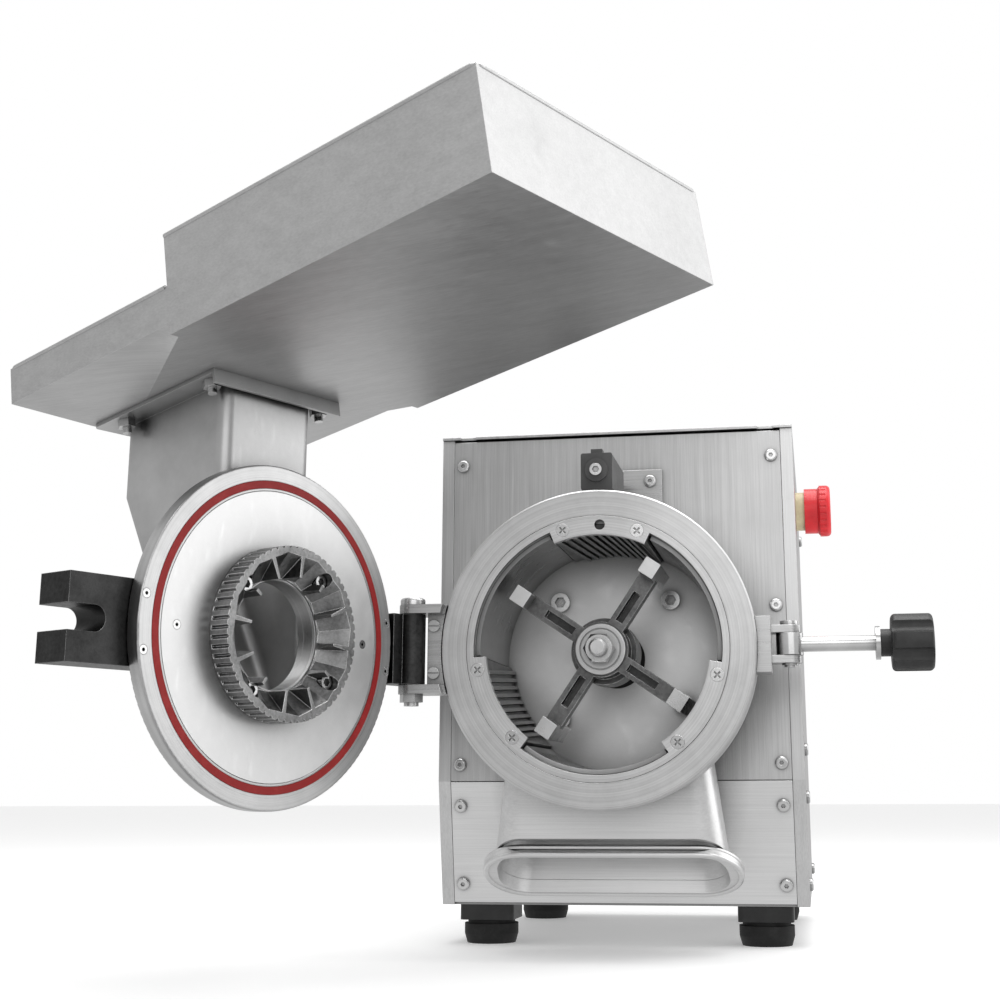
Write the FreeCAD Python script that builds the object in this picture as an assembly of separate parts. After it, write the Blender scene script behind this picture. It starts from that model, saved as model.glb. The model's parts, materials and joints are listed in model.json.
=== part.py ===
"""Bench hammer mill: a steel cabinet with a direct-drive motor, a round milling drum and a swing door
that carries the feed hopper.

Millimetres, +Z up.  The origin is on the bench, in the middle of the four feet.  The spindle runs
along Y and the front is towards -Y.  The door is modelled closed and then swung to its open rest place.
"""
import FreeCAD, Part
import math
import os

V = FreeCAD.Vector
X_AXIS = V(1, 0, 0)
Y_AXIS = V(0, 1, 0)
Z_AXIS = V(0, 0, 1)

# ---------------------------------------------------------------- driving dimensions
# cabinet
CABINET_WIDTH = 268.0          # outside of the side covers
CABINET_DEPTH = 320.0          # front panel face to rear panel face
FOOT_HEIGHT = 28.0             # bench to the underside of the cabinet
CABINET_HEIGHT = 346.0         # underside to the top of the covers
SHEET = 1.5                    # cover and panel sheet
COVER_LIP = 9.0                # folded front and rear lips of the side covers
SEAM_HEIGHT = 116.0            # bench to the seam between the two front panels
LOWER_SLOPE = 18.0             # how far the lower front panel runs back at its foot
LID_THICKNESS = 2.0
BASE_PLATE = 8.0
BULKHEAD = 8.0                 # inner plate that carries the drum
PANEL_GAP = 0.3                # gap between neighbouring sheets
SCREW_HEAD_R = 4.75            # button-head screws of the covers
SCREW_HEAD_H = 2.6
SCREW_SHANK_R = 2.5
SCREW_LENGTH = 9.0
SCREW_SOCKET_AF = 3.0
FIT = 0.15                     # clearance of a screw or spigot in its hole

# feet
FOOT_SPACING_X = 204.0
FOOT_SPACING_Y = 236.0
FOOT_BLOCK = 40.0
FOOT_BLOCK_HEIGHT = 11.0
PAD_R = 20.0
FOOT_HOLE_R = 3.3

# drum and its lining
SPINDLE_HEIGHT = 203.0
DRUM_REACH = 110.0             # front panel face to the drum's ring face
RING_R = 107.0
RING_DEPTH = 34.0
DRUM_R = 102.0
RECESS_R = 89.3
RECESS_DEPTH = 5.0
CHAMBER_R = 84.0
CHAMBER_DEPTH = 112.0
DRUM_FLANGE_R = 117.0
DRUM_FLANGE = 7.0
DRUM_SPIGOT = 2.0              # drum end past its flange, where the motor sits
SEAT = 0.1                     # clearance of a saddle on a round body
LINER = 3.0
TOOTHED_LINER = 8.0
TOOTH_HEIGHT = 2.8
TOOTH_WIDTH = 2.4
TOOTH_TILT = -4.0
TOOTH_COUNT = 10
LINER_GAP = 0.3
LINER_CENTRES = (88.0, 208.0, 328.0)
LINER_HALF_ANGLE = 24.0
RING_SCREW_ANGLE = 18.0        # from the middle of a toothed liner
RING_LAND_R = 76.0             # inner radius of the retaining ring over a toothed liner
RING_NARROW_R = 84.3
BACK_PLATE = 5.0
BACK_SCREW_R = 59.0
BACK_SCREW_ANGLES = (46.0, 134.0, 226.0, 326.0)
OUTLET_HALF_WIDTH = 56.0
OUTLET_FRONT = 24.0            # ring face to the outlet's front edge
OUTLET_REAR = 98.0
SIEVE_HOLE_R = 2.5

# discharge spout
SPOUT_HALF_WIDTH = 69.0
SPOUT_FLARE = 17.0
SPOUT_FRONT = 36.0             # ring face to the spout's front wall
SPOUT_REAR = 104.0
SPOUT_WALL = 2.0
SPOUT_CORNER = 14.0
SPOUT_TILT = 30.0
SPOUT_DROP = 151.0             # spindle to the middle of the mouth
SPOUT_MOUTH_DEPTH = 46.0
SPOUT_FLANGE_WIDTH = 180.0
SPOUT_FLANGE_DEPTH = 60.0
SPOUT_FLANGE = 8.0

# rotor
SHAFT_R = 12.0
RUNNING = 0.06                 # radial clearance of the shaft in seal and bearings
HUB_R = 17.5
HUB_FRONT = 22.0               # ring face to the hub's front
HUB_DEPTH = 30.0
BOSS_R = 23.0
ARM_ANGLES = (56.0, 146.0, 236.0, 326.0)
ARM_WIDTH = 12.0
ARM_THICK = 12.0
HAMMER_SIDE = 11.5
HAMMER_RADIUS = 64.0
HAMMER_FRONT = 6.0
HAMMER_LENGTH = 62.0
STUD_R = 6.0
NUT_AF = 19.0
NUT_HEIGHT = 9.0
STUD_FRONT = 3.0

# motor
MOTOR_R = 72.0
MOTOR_LENGTH = 150.0
STATOR_BORE = 26.0             # the stator's core and winding, one ring in the housing
STATOR_END = 14.0              # housing end to the stator
SHIELD = 12.0
MOTOR_FIN = 5.0
BEARING_R = 23.5
BEARING_WIDTH = 9.0
FAN_R = 58.0
COWL = 46.0

# door
HINGE_X = -127.0               # hinge pin axis, on the plane of the ring face
DOOR_OPEN = 116.5              # how far the door stands open at rest
DOOR_GAP = 0.5                 # closed door to ring face
DOOR_R = 106.0
DOOR_THICK = 10.0
SEAL_R = 91.2
SEAL_WIDTH = 5.0
SEAL_DEPTH = 3.0
SEAL_PROUD = 0.2
INNER_PLATE_R = 89.5
CROWN_R = 54.0
CROWN_BORE = 35.0
CROWN_MOUTH = 50.0
CROWN_DEPTH = 16.0
CROWN_RIBS = 60
CROWN_LOBES = 12
PIN_R = 5.0
PIN_CLEARANCE = 0.06
KNUCKLE_R = 9.0
EAR_HALF_HEIGHT = 30.0
EAR = 6.0
EAR_GAP = 0.4
LUG_DEPTH = 26.0
LUG_HALF_HEIGHT = 25.0
LUG_WALL = 4.0
LUG_START = 66.0
LUG_END = 146.0

# hopper, given from the ring face and the spindle with the door closed
HOPPER_WIDTH = 218.0
HOPPER_SLOPE = 10.0
TRAY_LENGTH = 241.0
TRAY_WALL = 64.0
FUNNEL_LENGTH = 150.0
FUNNEL_RIM = 24.0
FUNNEL_DROP = 7.0              # rise of the funnel's sides to the foot of its rim
FUNNEL_KNEE = 56.0             # outlet's start to where the funnel's sides stop closing in
HOPPER_SHEET = 1.5
HOPPER_FAR_END = 254.0         # tray's far end behind the ring face
HOPPER_FAR_HEIGHT = 206.0      # tray's far end above the spindle
DUCT_HALF_WIDTH = 38.0
DUCT_DEPTH = 96.0
DUCT_FOOT = 52.0               # duct's foot below the spindle
DUCT_TOE = 22.0                # depth of the duct at its foot
DUCT_CORNER = 8.0
DUCT_FLANGE_RIM = 17.0
DUCT_FLANGE = 2.5
FEED_HOLE_R = 34.0

# swing bolt
BOLT_PIN_X = 128.0
BOLT_PIN_BACK = 12.0           # ring face to the bolt's pin
BOLT_PIN_R = 4.0
BOLT_R = 5.0
BOLT_EYE_R = 9.0
BOLT_LENGTH = 81.0
KNOB_START = 56.0              # bolt's pin to the knob's washer
KNOB_R = 19.0
KNOB_LENGTH = 34.0

# emergency stop
STOP_BACK = 75.0               # front panel to the button's axis
STOP_HEIGHT = 323.0
STOP_R = 20.0

# interlock switch on top of the drum
SWITCH_WIDTH = 22.0
SWITCH_HEIGHT = 26.0
SWITCH_FRONT = 8.0
SWITCH_LENGTH = 66.0

# ---------------------------------------------------------------- derived places
FRONT = -CABINET_DEPTH / 2
REAR = CABINET_DEPTH / 2
HALF_WIDTH = CABINET_WIDTH / 2
UNDERSIDE = FOOT_HEIGHT
COVER_TOP = UNDERSIDE + CABINET_HEIGHT
RING_FACE = FRONT - DRUM_REACH
CHAMBER_BACK = RING_FACE + CHAMBER_DEPTH
BULKHEAD_FOOT = SPINDLE_HEIGHT - 99.0
BULKHEAD_LEAN = LOWER_SLOPE * (SEAM_HEIGHT - BULKHEAD_FOOT) / (SEAM_HEIGHT - UNDERSIDE)
BULKHEAD_FRONT = FRONT + SHEET + 2 * PANEL_GAP + BULKHEAD_LEAN
FLANGE_FRONT = BULKHEAD_FRONT + BULKHEAD
DRUM_END = FLANGE_FRONT + DRUM_FLANGE + DRUM_SPIGOT
MOTOR_FRONT = DRUM_END
MOTOR_BODY_FRONT = MOTOR_FRONT + SHIELD
MOTOR_BODY_REAR = MOTOR_BODY_FRONT + MOTOR_LENGTH
MOTOR_REAR = MOTOR_BODY_REAR + SHIELD
LINER_FRONT = RING_FACE + RECESS_DEPTH + LINER_GAP
LINER_REAR = CHAMBER_BACK - BACK_PLATE - LINER_GAP
DOOR_FACE = RING_FACE - DOOR_GAP
DOOR_REAR = DOOR_FACE - DOOR_THICK


def box(x0, x1, y0, y1, z0, z1):
    return Part.makeBox(x1 - x0, y1 - y0, z1 - z0, V(x0, y0, z0))


def rod_y(radius, y0, y1, x=0.0, z=SPINDLE_HEIGHT):
    return Part.makeCylinder(radius, y1 - y0, V(x, y0, z), Y_AXIS)


def rod_z(radius, z0, z1, x, y):
    return Part.makeCylinder(radius, z1 - z0, V(x, y, z0), Z_AXIS)


def rod_x(radius, x0, x1, y, z):
    return Part.makeCylinder(radius, x1 - x0, V(x0, y, z), X_AXIS)


def tube_y(outer, inner, y0, y1, x=0.0, z=SPINDLE_HEIGHT):
    return rod_y(outer, y0, y1, x, z).cut(rod_y(inner, y0 - 1, y1 + 1, x, z))


def prism(points, direction):
    """A flat outline of points, pushed along direction."""
    corners = [V(*p) for p in points]
    return Part.Face(Part.makePolygon(corners + corners[:1])).extrude(direction)


def union(shapes):
    first = shapes[0]
    return first.multiFuse(shapes[1:]).removeSplitter() if len(shapes) > 1 else first


def group(shapes):
    """Separate solids of one node."""
    return Part.makeCompound(shapes)


def spin(shape, degrees, centre=None, axis=Y_AXIS):
    turned = shape.copy()
    turned.rotate(centre or V(0, 0, SPINDLE_HEIGHT), axis, degrees)
    return turned


def polar(radius, degrees):
    """The X and Z of a point round the spindle; angles run from +X towards +Z."""
    a = math.radians(degrees)
    return radius * math.cos(a), SPINDLE_HEIGHT + radius * math.sin(a)


def sector(radius, start, end, y0, y1):
    """A wedge round the spindle between two angles, for cutting segments."""
    steps = 8
    points = [(0, y0, SPINDLE_HEIGHT)]
    for i in range(steps + 1):
        x, z = polar(radius, start + (end - start) * i / steps)
        points.append((x, y0, z))
    return prism(points, V(0, y1 - y0, 0))


def arc_segment(outer, inner, start, end, y0, y1):
    return tube_y(outer, inner, y0, y1).common(sector(outer * 1.4, start, end, y0, y1))


def rounded(x0, x1, y0, y1, z0, z1, radius, axis):
    """A box with rounded edges along one axis."""
    block = box(x0, x1, y0, y1, z0, z1)
    edges = [e for e in block.Edges if abs(abs(e.tangentAt(e.FirstParameter).dot(axis)) - 1) < 1e-6]
    return block.makeFillet(radius, edges)


def hexagon(across_flats, height, base, direction):
    """A hexagonal prism standing on base along one of the axes."""
    r = across_flats / 2 / math.cos(math.pi / 6)
    side = X_AXIS if abs(direction.x) < 0.5 else Y_AXIS
    up = direction.cross(side)
    corners = []
    for i in range(6):
        a = math.radians(60 * i)
        corners.append(base + side * (r * math.cos(a)) + up * (r * math.sin(a)))
    return Part.Face(Part.makePolygon(corners + corners[:1])).extrude(direction * height)


def button_screw(seat, outward, head_r=SCREW_HEAD_R, head_h=SCREW_HEAD_H, shank_r=SCREW_SHANK_R,
                 length=SCREW_LENGTH, socket=SCREW_SOCKET_AF):
    """A domed socket screw whose head stands on seat and whose shank goes the other way."""
    head = Part.makeCylinder(head_r, head_h, seat, outward)
    top = [e for e in head.Edges if len(e.Vertexes) == 1 and (e.CenterOfMass - seat).dot(outward) > head_h / 2]
    head = head.makeFillet(head_h * 0.6, top)
    shank = Part.makeCylinder(shank_r, length, seat, -outward)
    screw = head.fuse(shank)
    return screw.cut(hexagon(socket, head_h, seat + outward * (head_h * 0.45), outward))


def cap_screw(seat, outward, head_r, head_h, shank_r, length):
    """A cylinder-head socket screw."""
    head = Part.makeCylinder(head_r, head_h, seat, outward)
    shank = Part.makeCylinder(shank_r, length, seat, -outward)
    socket = hexagon(head_r * 1.05, head_h, seat + outward * (head_h * 0.4), outward)
    return head.fuse(shank).cut(socket)


def phillips_screw(x, z, face, head_r, depth, length):
    """A countersunk cross-head screw, flush with a face that looks towards -Y."""
    head = Part.makeCone(head_r, head_r * 0.5, depth, V(x, face, z), Y_AXIS)
    shank = rod_y(head_r * 0.5, face + depth, face + length, x, z)
    cross = []
    for turn in (45, 135):
        blade = box(x - head_r * 0.62, x + head_r * 0.62, face - 1, face + depth * 0.5, z - 0.6, z + 0.6)
        cross.append(spin(blade, turn, V(x, 0, z)))
    return head.fuse(shank).cut(union(cross))


# ---------------------------------------------------------------- cabinet
def side_profile(x, inset=0.0):
    """The cabinet's outline seen from the side, in the plane at x."""
    return [
        (x, FRONT + inset, COVER_TOP - inset),
        (x, REAR - inset, COVER_TOP - inset),
        (x, REAR - inset, UNDERSIDE + inset),
        (x, FRONT + LOWER_SLOPE + inset, UNDERSIDE + inset),
        (x, FRONT + inset, SEAM_HEIGHT),
    ]


def cover_screw_places():
    """Y and Z of the screws through the side covers."""
    return [
        (FRONT + LOWER_SLOPE + 26.0, UNDERSIDE + 14.0),
        (FRONT + 30.0, SEAM_HEIGHT - 12.0),
        (FRONT + 30.0, SEAM_HEIGHT + 22.0),
        (REAR - 24.0, UNDERSIDE + 14.0),
        (REAR - 24.0, COVER_TOP - 40.0),
    ]


def side_cover(side):
    """A side sheet with lips folded in along its front and rear edges."""
    x0 = side * HALF_WIDTH
    x1 = side * (HALF_WIDTH - COVER_LIP)
    shell = prism(side_profile(x0), V(x1 - x0, 0, 0))
    inner_x = x0 - side * SHEET
    hollow = prism(side_profile(inner_x, SHEET), V(x1 - x0, 0, 0))
    cover = shell.cut(hollow)
    floor_cut = box(min(inner_x, x1), max(inner_x, x1), BASE_FRONT - PANEL_GAP, REAR - SHEET,
                    UNDERSIDE - 1, UNDERSIDE + SHEET + 1)
    cover = cover.cut(floor_cut)
    for y, z in cover_screw_places():
        cover = cover.cut(rod_x(SCREW_SHANK_R + FIT, min(x0, x1) - 1, max(x0, x1) + 1, y, z))
    if side > 0:
        cover = cover.cut(rod_x(11.0 + FIT, min(x0, x1) - 1, max(x0, x1) + 1, FRONT + STOP_BACK, STOP_HEIGHT))
    return cover


def side_cover_screws():
    screws = []
    for side in (-1, 1):
        for y, z in cover_screw_places():
            seat = V(side * HALF_WIDTH, y, z)
            screws.append(button_screw(seat, X_AXIS * side))
    return group(screws)


PANEL_HALF = HALF_WIDTH - COVER_LIP - PANEL_GAP
PANEL_TOP = COVER_TOP - SHEET - PANEL_GAP
UPPER_SCREWS = [
    (-1, PANEL_TOP - 19.0), (1, PANEL_TOP - 19.0), (1, SPINDLE_HEIGHT + 38.0), (-1, SEAM_HEIGHT + 12.0),
    (1, SEAM_HEIGHT + 12.0),
]
LOWER_SCREWS = [(-1, 0.2), (1, 0.2), (-1, 0.83), (1, 0.83)]
PANEL_SCREW_X = PANEL_HALF - 7.0
SLOPE_HEIGHT = SEAM_HEIGHT - UNDERSIDE
SLOPE_NORMAL = V(0, -SLOPE_HEIGHT, -LOWER_SLOPE).normalize()
SWITCH_PLATE_SCREW = (27.0, SPINDLE_HEIGHT + 133.0)


def front_panel():
    """The upper front sheet with the hole that the drum comes through."""
    panel = box(-PANEL_HALF, PANEL_HALF, FRONT, FRONT + SHEET, SEAM_HEIGHT + PANEL_GAP, PANEL_TOP)
    panel = panel.cut(rod_y(DRUM_R + PANEL_GAP, FRONT - 1, FRONT + SHEET + 1))
    for side, z in UPPER_SCREWS:
        panel = panel.cut(rod_y(SCREW_SHANK_R + FIT, FRONT - 1, FRONT + SHEET + 1, side * PANEL_SCREW_X, z))
    x, z = SWITCH_PLATE_SCREW
    return panel.cut(rod_y(SCREW_SHANK_R + FIT, FRONT - 1, FRONT + SHEET + 1, x, z))


def slope_point(x, share, depth=0.0):
    """A point of the lower front panel, share of the way down from the seam."""
    outer = V(x, FRONT + LOWER_SLOPE * share, SEAM_HEIGHT - SLOPE_HEIGHT * share)
    return outer - SLOPE_NORMAL * depth


def lower_front_panel():
    """The lower front sheet, sloping back to the feet."""
    points = []
    for share, depth in ((0.004, 0), (0.98, 0), (0.98, SHEET), (0.004, SHEET)):
        p = slope_point(-PANEL_HALF, share, depth)
        points.append((p.x, p.y, p.z))
    panel = prism(points, V(2 * PANEL_HALF, 0, 0))
    panel = panel.cut(rod_y(DRUM_R + PANEL_GAP, FRONT - 1, FRONT + 30))
    for side, share in LOWER_SCREWS:
        p = slope_point(side * PANEL_SCREW_X, share, -1)
        panel = panel.cut(Part.makeCylinder(SCREW_SHANK_R + FIT, SHEET + 3, p, -SLOPE_NORMAL))
    return panel


def front_panel_screws():
    screws = []
    for side, z in UPPER_SCREWS:
        screws.append(button_screw(V(side * PANEL_SCREW_X, FRONT, z), -Y_AXIS, length=6.0))
    for side, share in LOWER_SCREWS:
        screws.append(button_screw(slope_point(side * PANEL_SCREW_X, share), SLOPE_NORMAL, length=6.0))
    return group(screws)


GLAND_X = -78.0
GLAND_Z = UNDERSIDE + 34.0
GLAND_R = 8.0


def rear_panel():
    """The rear sheet with cooling slots behind the fan and a hole for the cable gland."""
    panel = box(-PANEL_HALF, PANEL_HALF, REAR - SHEET, REAR, UNDERSIDE + SHEET + PANEL_GAP, PANEL_TOP)
    slots = []
    count = 9
    pitch = 13.0
    for i in range(count):
        z = SPINDLE_HEIGHT + pitch * (i - (count - 1) / 2)
        reach = math.sqrt((FAN_R + 6) ** 2 - (z - SPINDLE_HEIGHT) ** 2)
        slots.append(box(-reach, reach, REAR - SHEET - 1, REAR + 1, z - 2.5, z + 2.5))
    panel = panel.cut(Part.makeCompound(slots))
    panel = panel.cut(rod_y(GLAND_R + FIT, REAR - 5, REAR + 5, GLAND_X, GLAND_Z))
    for x in (-PANEL_SCREW_X, PANEL_SCREW_X):
        for z in (PANEL_TOP - 16.0, UNDERSIDE + 22.0):
            panel = panel.cut(rod_y(SCREW_SHANK_R + FIT, REAR - 5, REAR + 5, x, z))
    return panel


def rear_panel_screws():
    screws = []
    for x in (-PANEL_SCREW_X, PANEL_SCREW_X):
        for z in (PANEL_TOP - 16.0, UNDERSIDE + 22.0):
            screws.append(button_screw(V(x, REAR, z), Y_AXIS, length=6.0))
    return group(screws)


def cable_gland():
    """A screwed cable inlet: flange nut outside, dome and a thread with a nut inside."""
    thread = rod_y(GLAND_R, REAR - 9, REAR + 1, GLAND_X, GLAND_Z)
    flange = hexagon(22.0, 6.0, V(GLAND_X, REAR, GLAND_Z), Y_AXIS)
    dome = Part.makeCone(9.5, 6.5, 12.0, V(GLAND_X, REAR + 6, GLAND_Z), Y_AXIS)
    nut = hexagon(21.0, 4.0, V(GLAND_X, REAR - SHEET, GLAND_Z), -Y_AXIS)
    bore = rod_y(4.0, REAR - 20, REAR + 30, GLAND_X, GLAND_Z)
    return union([thread, flange, dome, nut]).cut(bore)


LID_SCREWS = [(-1, FRONT + 20.0), (1, FRONT + 20.0), (-1, REAR - 20.0), (1, REAR - 20.0)]


def top_lid():
    """The flat lid with a notched lip along the front."""
    lid = box(-HALF_WIDTH, HALF_WIDTH, FRONT - 2, REAR + 2, COVER_TOP, COVER_TOP + LID_THICKNESS)
    notches = []
    for side in (-1, 1):
        x = side * (HALF_WIDTH - 20.0)
        notches.append(box(x - 6, x + 6, FRONT - 3, FRONT + 0.5, COVER_TOP - 1, COVER_TOP + LID_THICKNESS + 1))
    lid = lid.cut(Part.makeCompound(notches))
    for side, y in LID_SCREWS:
        lid = lid.cut(rod_z(SCREW_SHANK_R + FIT, COVER_TOP - 1, COVER_TOP + 5, side * (HALF_WIDTH - 5), y))
    return lid


def lid_screws():
    screws = []
    for side, y in LID_SCREWS:
        seat = V(side * (HALF_WIDTH - 5), y, COVER_TOP + LID_THICKNESS)
        screws.append(button_screw(seat, Z_AXIS, head_r=3.8, head_h=2.0, shank_r=2.0, length=1.9, socket=2.4))
    return group(screws)


BASE_HALF = HALF_WIDTH - SHEET - PANEL_GAP
BASE_FRONT = FRONT + LOWER_SLOPE + SHEET + 1.0
BASE_REAR = REAR - SHEET - PANEL_GAP
BASE_TOP = UNDERSIDE + BASE_PLATE


def foot_places():
    return [(sx * FOOT_SPACING_X / 2, sy * FOOT_SPACING_Y / 2) for sx in (-1, 1) for sy in (-1, 1)]


def base_plate():
    """The floor of the cabinet, with flanges turned up along its sides."""
    plate = box(-BASE_HALF, BASE_HALF, BASE_FRONT, BASE_REAR, UNDERSIDE, BASE_TOP)
    for side in (-1, 1):
        x0 = side * BASE_HALF
        x1 = side * (BASE_HALF - BASE_PLATE)
        plate = plate.fuse(box(min(x0, x1), max(x0, x1), BASE_FRONT + 8, BASE_REAR, UNDERSIDE, UNDERSIDE + 24))
    plate = plate.removeSplitter()
    for x, y in foot_places():
        plate = plate.cut(rod_z(FOOT_HOLE_R, UNDERSIDE - 1, BASE_TOP + 1, x, y))
    for y, z in cover_screw_places():
        if z < UNDERSIDE + 24:
            plate = plate.cut(rod_x(SCREW_SHANK_R + FIT, -HALF_WIDTH, HALF_WIDTH, y, z))
    return plate


BULKHEAD_HALF = HALF_WIDTH - SCREW_LENGTH - 4.0
DRUM_BOLT_CIRCLE = (DRUM_R + DRUM_FLANGE_R) / 2
DRUM_BOLT_ANGLES = [60 * i for i in range(6)]


def bulkhead():
    """The thick plate behind the front panel that carries the drum."""
    lower_edge = BULKHEAD_FOOT
    plate = box(-BULKHEAD_HALF, BULKHEAD_HALF, BULKHEAD_FRONT, BULKHEAD_FRONT + BULKHEAD, lower_edge, PANEL_TOP - 2)
    foot_front = BULKHEAD_FRONT + BULKHEAD + 18.0
    web = prism([(0, BULKHEAD_FRONT + BULKHEAD - 1, lower_edge), (0, BULKHEAD_FRONT + BULKHEAD - 1, lower_edge + 30),
                 (0, foot_front, lower_edge), (0, foot_front + 12, BASE_TOP), (0, foot_front, BASE_TOP)],
                V(6, 0, 0))
    legs = []
    for x in (-BULKHEAD_HALF + 4, BULKHEAD_HALF - 10):
        leg = web.copy()
        leg.translate(V(x, 0, 0))
        legs.append(leg)
    plate = union([plate] + legs)
    plate = plate.cut(rod_y(DRUM_R + PANEL_GAP, FRONT, FRONT + 30))
    for side, z in UPPER_SCREWS:
        plate = plate.cut(rod_y(SCREW_SHANK_R + FIT, FRONT, FRONT + 30, side * PANEL_SCREW_X, z))
    for angle in DRUM_BOLT_ANGLES:
        x, z = polar(DRUM_BOLT_CIRCLE, angle)
        plate = plate.cut(rod_y(3.0 + FIT, FRONT, FRONT + 30, x, z))
    x, z = SWITCH_PLATE_SCREW
    return plate.cut(rod_y(SCREW_SHANK_R + FIT, FRONT, FRONT + 30, x, z))


def foot_blocks():
    """Square blocks between the base plate and the rubber pads."""
    blocks = []
    half = FOOT_BLOCK / 2
    for x, y in foot_places():
        block = rounded(x - half, x + half, y - half, y + half, UNDERSIDE - FOOT_BLOCK_HEIGHT, UNDERSIDE, 4.0, Z_AXIS)
        blocks.append(block.cut(rod_z(FOOT_HOLE_R, 0, UNDERSIDE + 1, x, y)))
    return group(blocks)


def rubber_feet():
    pads = []
    height = UNDERSIDE - FOOT_BLOCK_HEIGHT
    for x, y in foot_places():
        pad = Part.makeCone(PAD_R - 2.0, PAD_R, height * 0.4, V(x, y, 0), Z_AXIS)
        pad = pad.fuse(rod_z(PAD_R, height * 0.4, height - 3.0, x, y))
        pad = pad.fuse(rod_z(PAD_R - 2.5, height - 3.0, height, x, y))
        pads.append(pad.removeSplitter().cut(rod_z(FOOT_HOLE_R, -1, height + 1, x, y)))
    return group(pads)


# ---------------------------------------------------------------- drum
def outlet_cutter(margin=0.0):
    """The passage from the chamber down into the spout."""
    half = OUTLET_HALF_WIDTH + margin
    return rounded(-half, half, RING_FACE + OUTLET_FRONT, RING_FACE + OUTLET_REAR,
                   SPINDLE_HEIGHT - DRUM_R - 30, SPINDLE_HEIGHT - 20, 6.0, Z_AXIS)


def ring_screw_places():
    places = []
    for centre in LINER_CENTRES:
        for side in (-1, 1):
            places.append(polar((RECESS_R + RING_LAND_R) / 2, centre + side * RING_SCREW_ANGLE))
    return places


RING_SCREW_HEAD = 4.6
RING_SCREW_DEPTH = 2.4
RING_SCREW_LENGTH = 12.0


def drum_housing():
    """The turned drum: front ring, barrel, rear wall and mounting flange."""
    ring = rod_y(RING_R, RING_FACE, RING_FACE + RING_DEPTH)
    back_edge = [e for e in ring.Edges if len(e.Vertexes) == 1]
    ring = ring.makeChamfer(1.0, back_edge)
    barrel = rod_y(DRUM_R, RING_FACE + RING_DEPTH - 1, DRUM_END)
    flange = rod_y(DRUM_FLANGE_R, FLANGE_FRONT, FLANGE_FRONT + DRUM_FLANGE)
    drum = union([ring, barrel, flange])
    drum = drum.cut(rod_y(RECESS_R, RING_FACE - 1, RING_FACE + RECESS_DEPTH))
    drum = drum.cut(rod_y(CHAMBER_R, RING_FACE - 1, CHAMBER_BACK))
    drum = drum.cut(rod_y(SEAL_SEAT_R, CHAMBER_BACK - 1, DRUM_END + 1))
    drum = drum.cut(outlet_cutter())
    for angle in DRUM_BOLT_ANGLES:
        x, z = polar(DRUM_BOLT_CIRCLE, angle)
        drum = drum.cut(rod_y(3.0, FLANGE_FRONT - 1, FLANGE_FRONT + DRUM_FLANGE + 1, x, z))
    for x, z in back_screw_places():
        drum = drum.cut(rod_y(BACK_SCREW_SHANK, CHAMBER_BACK - 1, CHAMBER_BACK + 10, x, z))
    for x, z in ring_screw_places():
        drum = drum.cut(rod_y(RING_SCREW_HEAD * 0.5 + FIT, RING_FACE, RING_FACE + RING_SCREW_LENGTH + 1, x, z))
    return drum


SEAL_SEAT_R = 21.0
BACK_SCREW_HEAD = 7.0
BACK_SCREW_SHANK = 3.0


def back_screw_places():
    return [polar(BACK_SCREW_R, angle) for angle in BACK_SCREW_ANGLES]


def back_plate():
    """The bright wear plate at the back of the chamber."""
    plate = tube_y(CHAMBER_R - LINER_GAP, SEAL_SEAT_R, CHAMBER_BACK - BACK_PLATE, CHAMBER_BACK)
    for x, z in back_screw_places():
        plate = plate.cut(rod_y(BACK_SCREW_SHANK + FIT, CHAMBER_BACK - 20, CHAMBER_BACK + 1, x, z))
    return plate


def back_plate_screws():
    screws = []
    for x, z in back_screw_places():
        seat = V(x, CHAMBER_BACK - BACK_PLATE, z)
        screws.append(cap_screw(seat, -Y_AXIS, BACK_SCREW_HEAD, 6.0, BACK_SCREW_SHANK - FIT, BACK_PLATE + 7))
    return group(screws)


def shaft_seal():
    seal = tube_y(SEAL_SEAT_R - FIT, SHAFT_R + RUNNING, CHAMBER_BACK - BACK_PLATE, DRUM_END)
    lip = tube_y(SHAFT_R + 4.5, SHAFT_R + RUNNING, CHAMBER_BACK - BACK_PLATE - 2, CHAMBER_BACK - BACK_PLATE + 1)
    return seal.fuse(lip).removeSplitter()


def toothed_liner(centre):
    """A wear liner whose slanting ribs stand into the chamber."""
    start = centre - LINER_HALF_ANGLE
    end = centre + LINER_HALF_ANGLE
    outer = CHAMBER_R - LINER_GAP
    base_r = outer - TOOTHED_LINER + TOOTH_HEIGHT
    body = arc_segment(outer, base_r, start, end, LINER_FRONT, LINER_REAR)
    length = LINER_REAR - LINER_FRONT
    middle = (LINER_FRONT + LINER_REAR) / 2
    ribs = []
    for i in range(TOOTH_COUNT):
        angle = centre + (i - (TOOTH_COUNT - 1) / 2) * (2 * LINER_HALF_ANGLE - 6) / TOOTH_COUNT
        rib = box(base_r - TOOTH_HEIGHT, outer - 1.5, middle - length * 0.6, middle + length * 0.6,
                  SPINDLE_HEIGHT - TOOTH_WIDTH / 2, SPINDLE_HEIGHT + TOOTH_WIDTH / 2)
        rib.rotate(V(0, middle, SPINDLE_HEIGHT), X_AXIS, TOOTH_TILT)
        ribs.append(spin(rib, -angle))
    keep = arc_segment(outer, base_r - TOOTH_HEIGHT, start, end, LINER_FRONT, LINER_REAR)
    liner = body.multiFuse([rib.common(keep) for rib in ribs]).removeSplitter()
    for x, z in ring_screw_places():
        liner = liner.cut(rod_y(RING_SCREW_HEAD * 0.5 + FIT, LINER_FRONT - 1, LINER_FRONT + RING_SCREW_LENGTH, x, z))
    return liner


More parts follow.
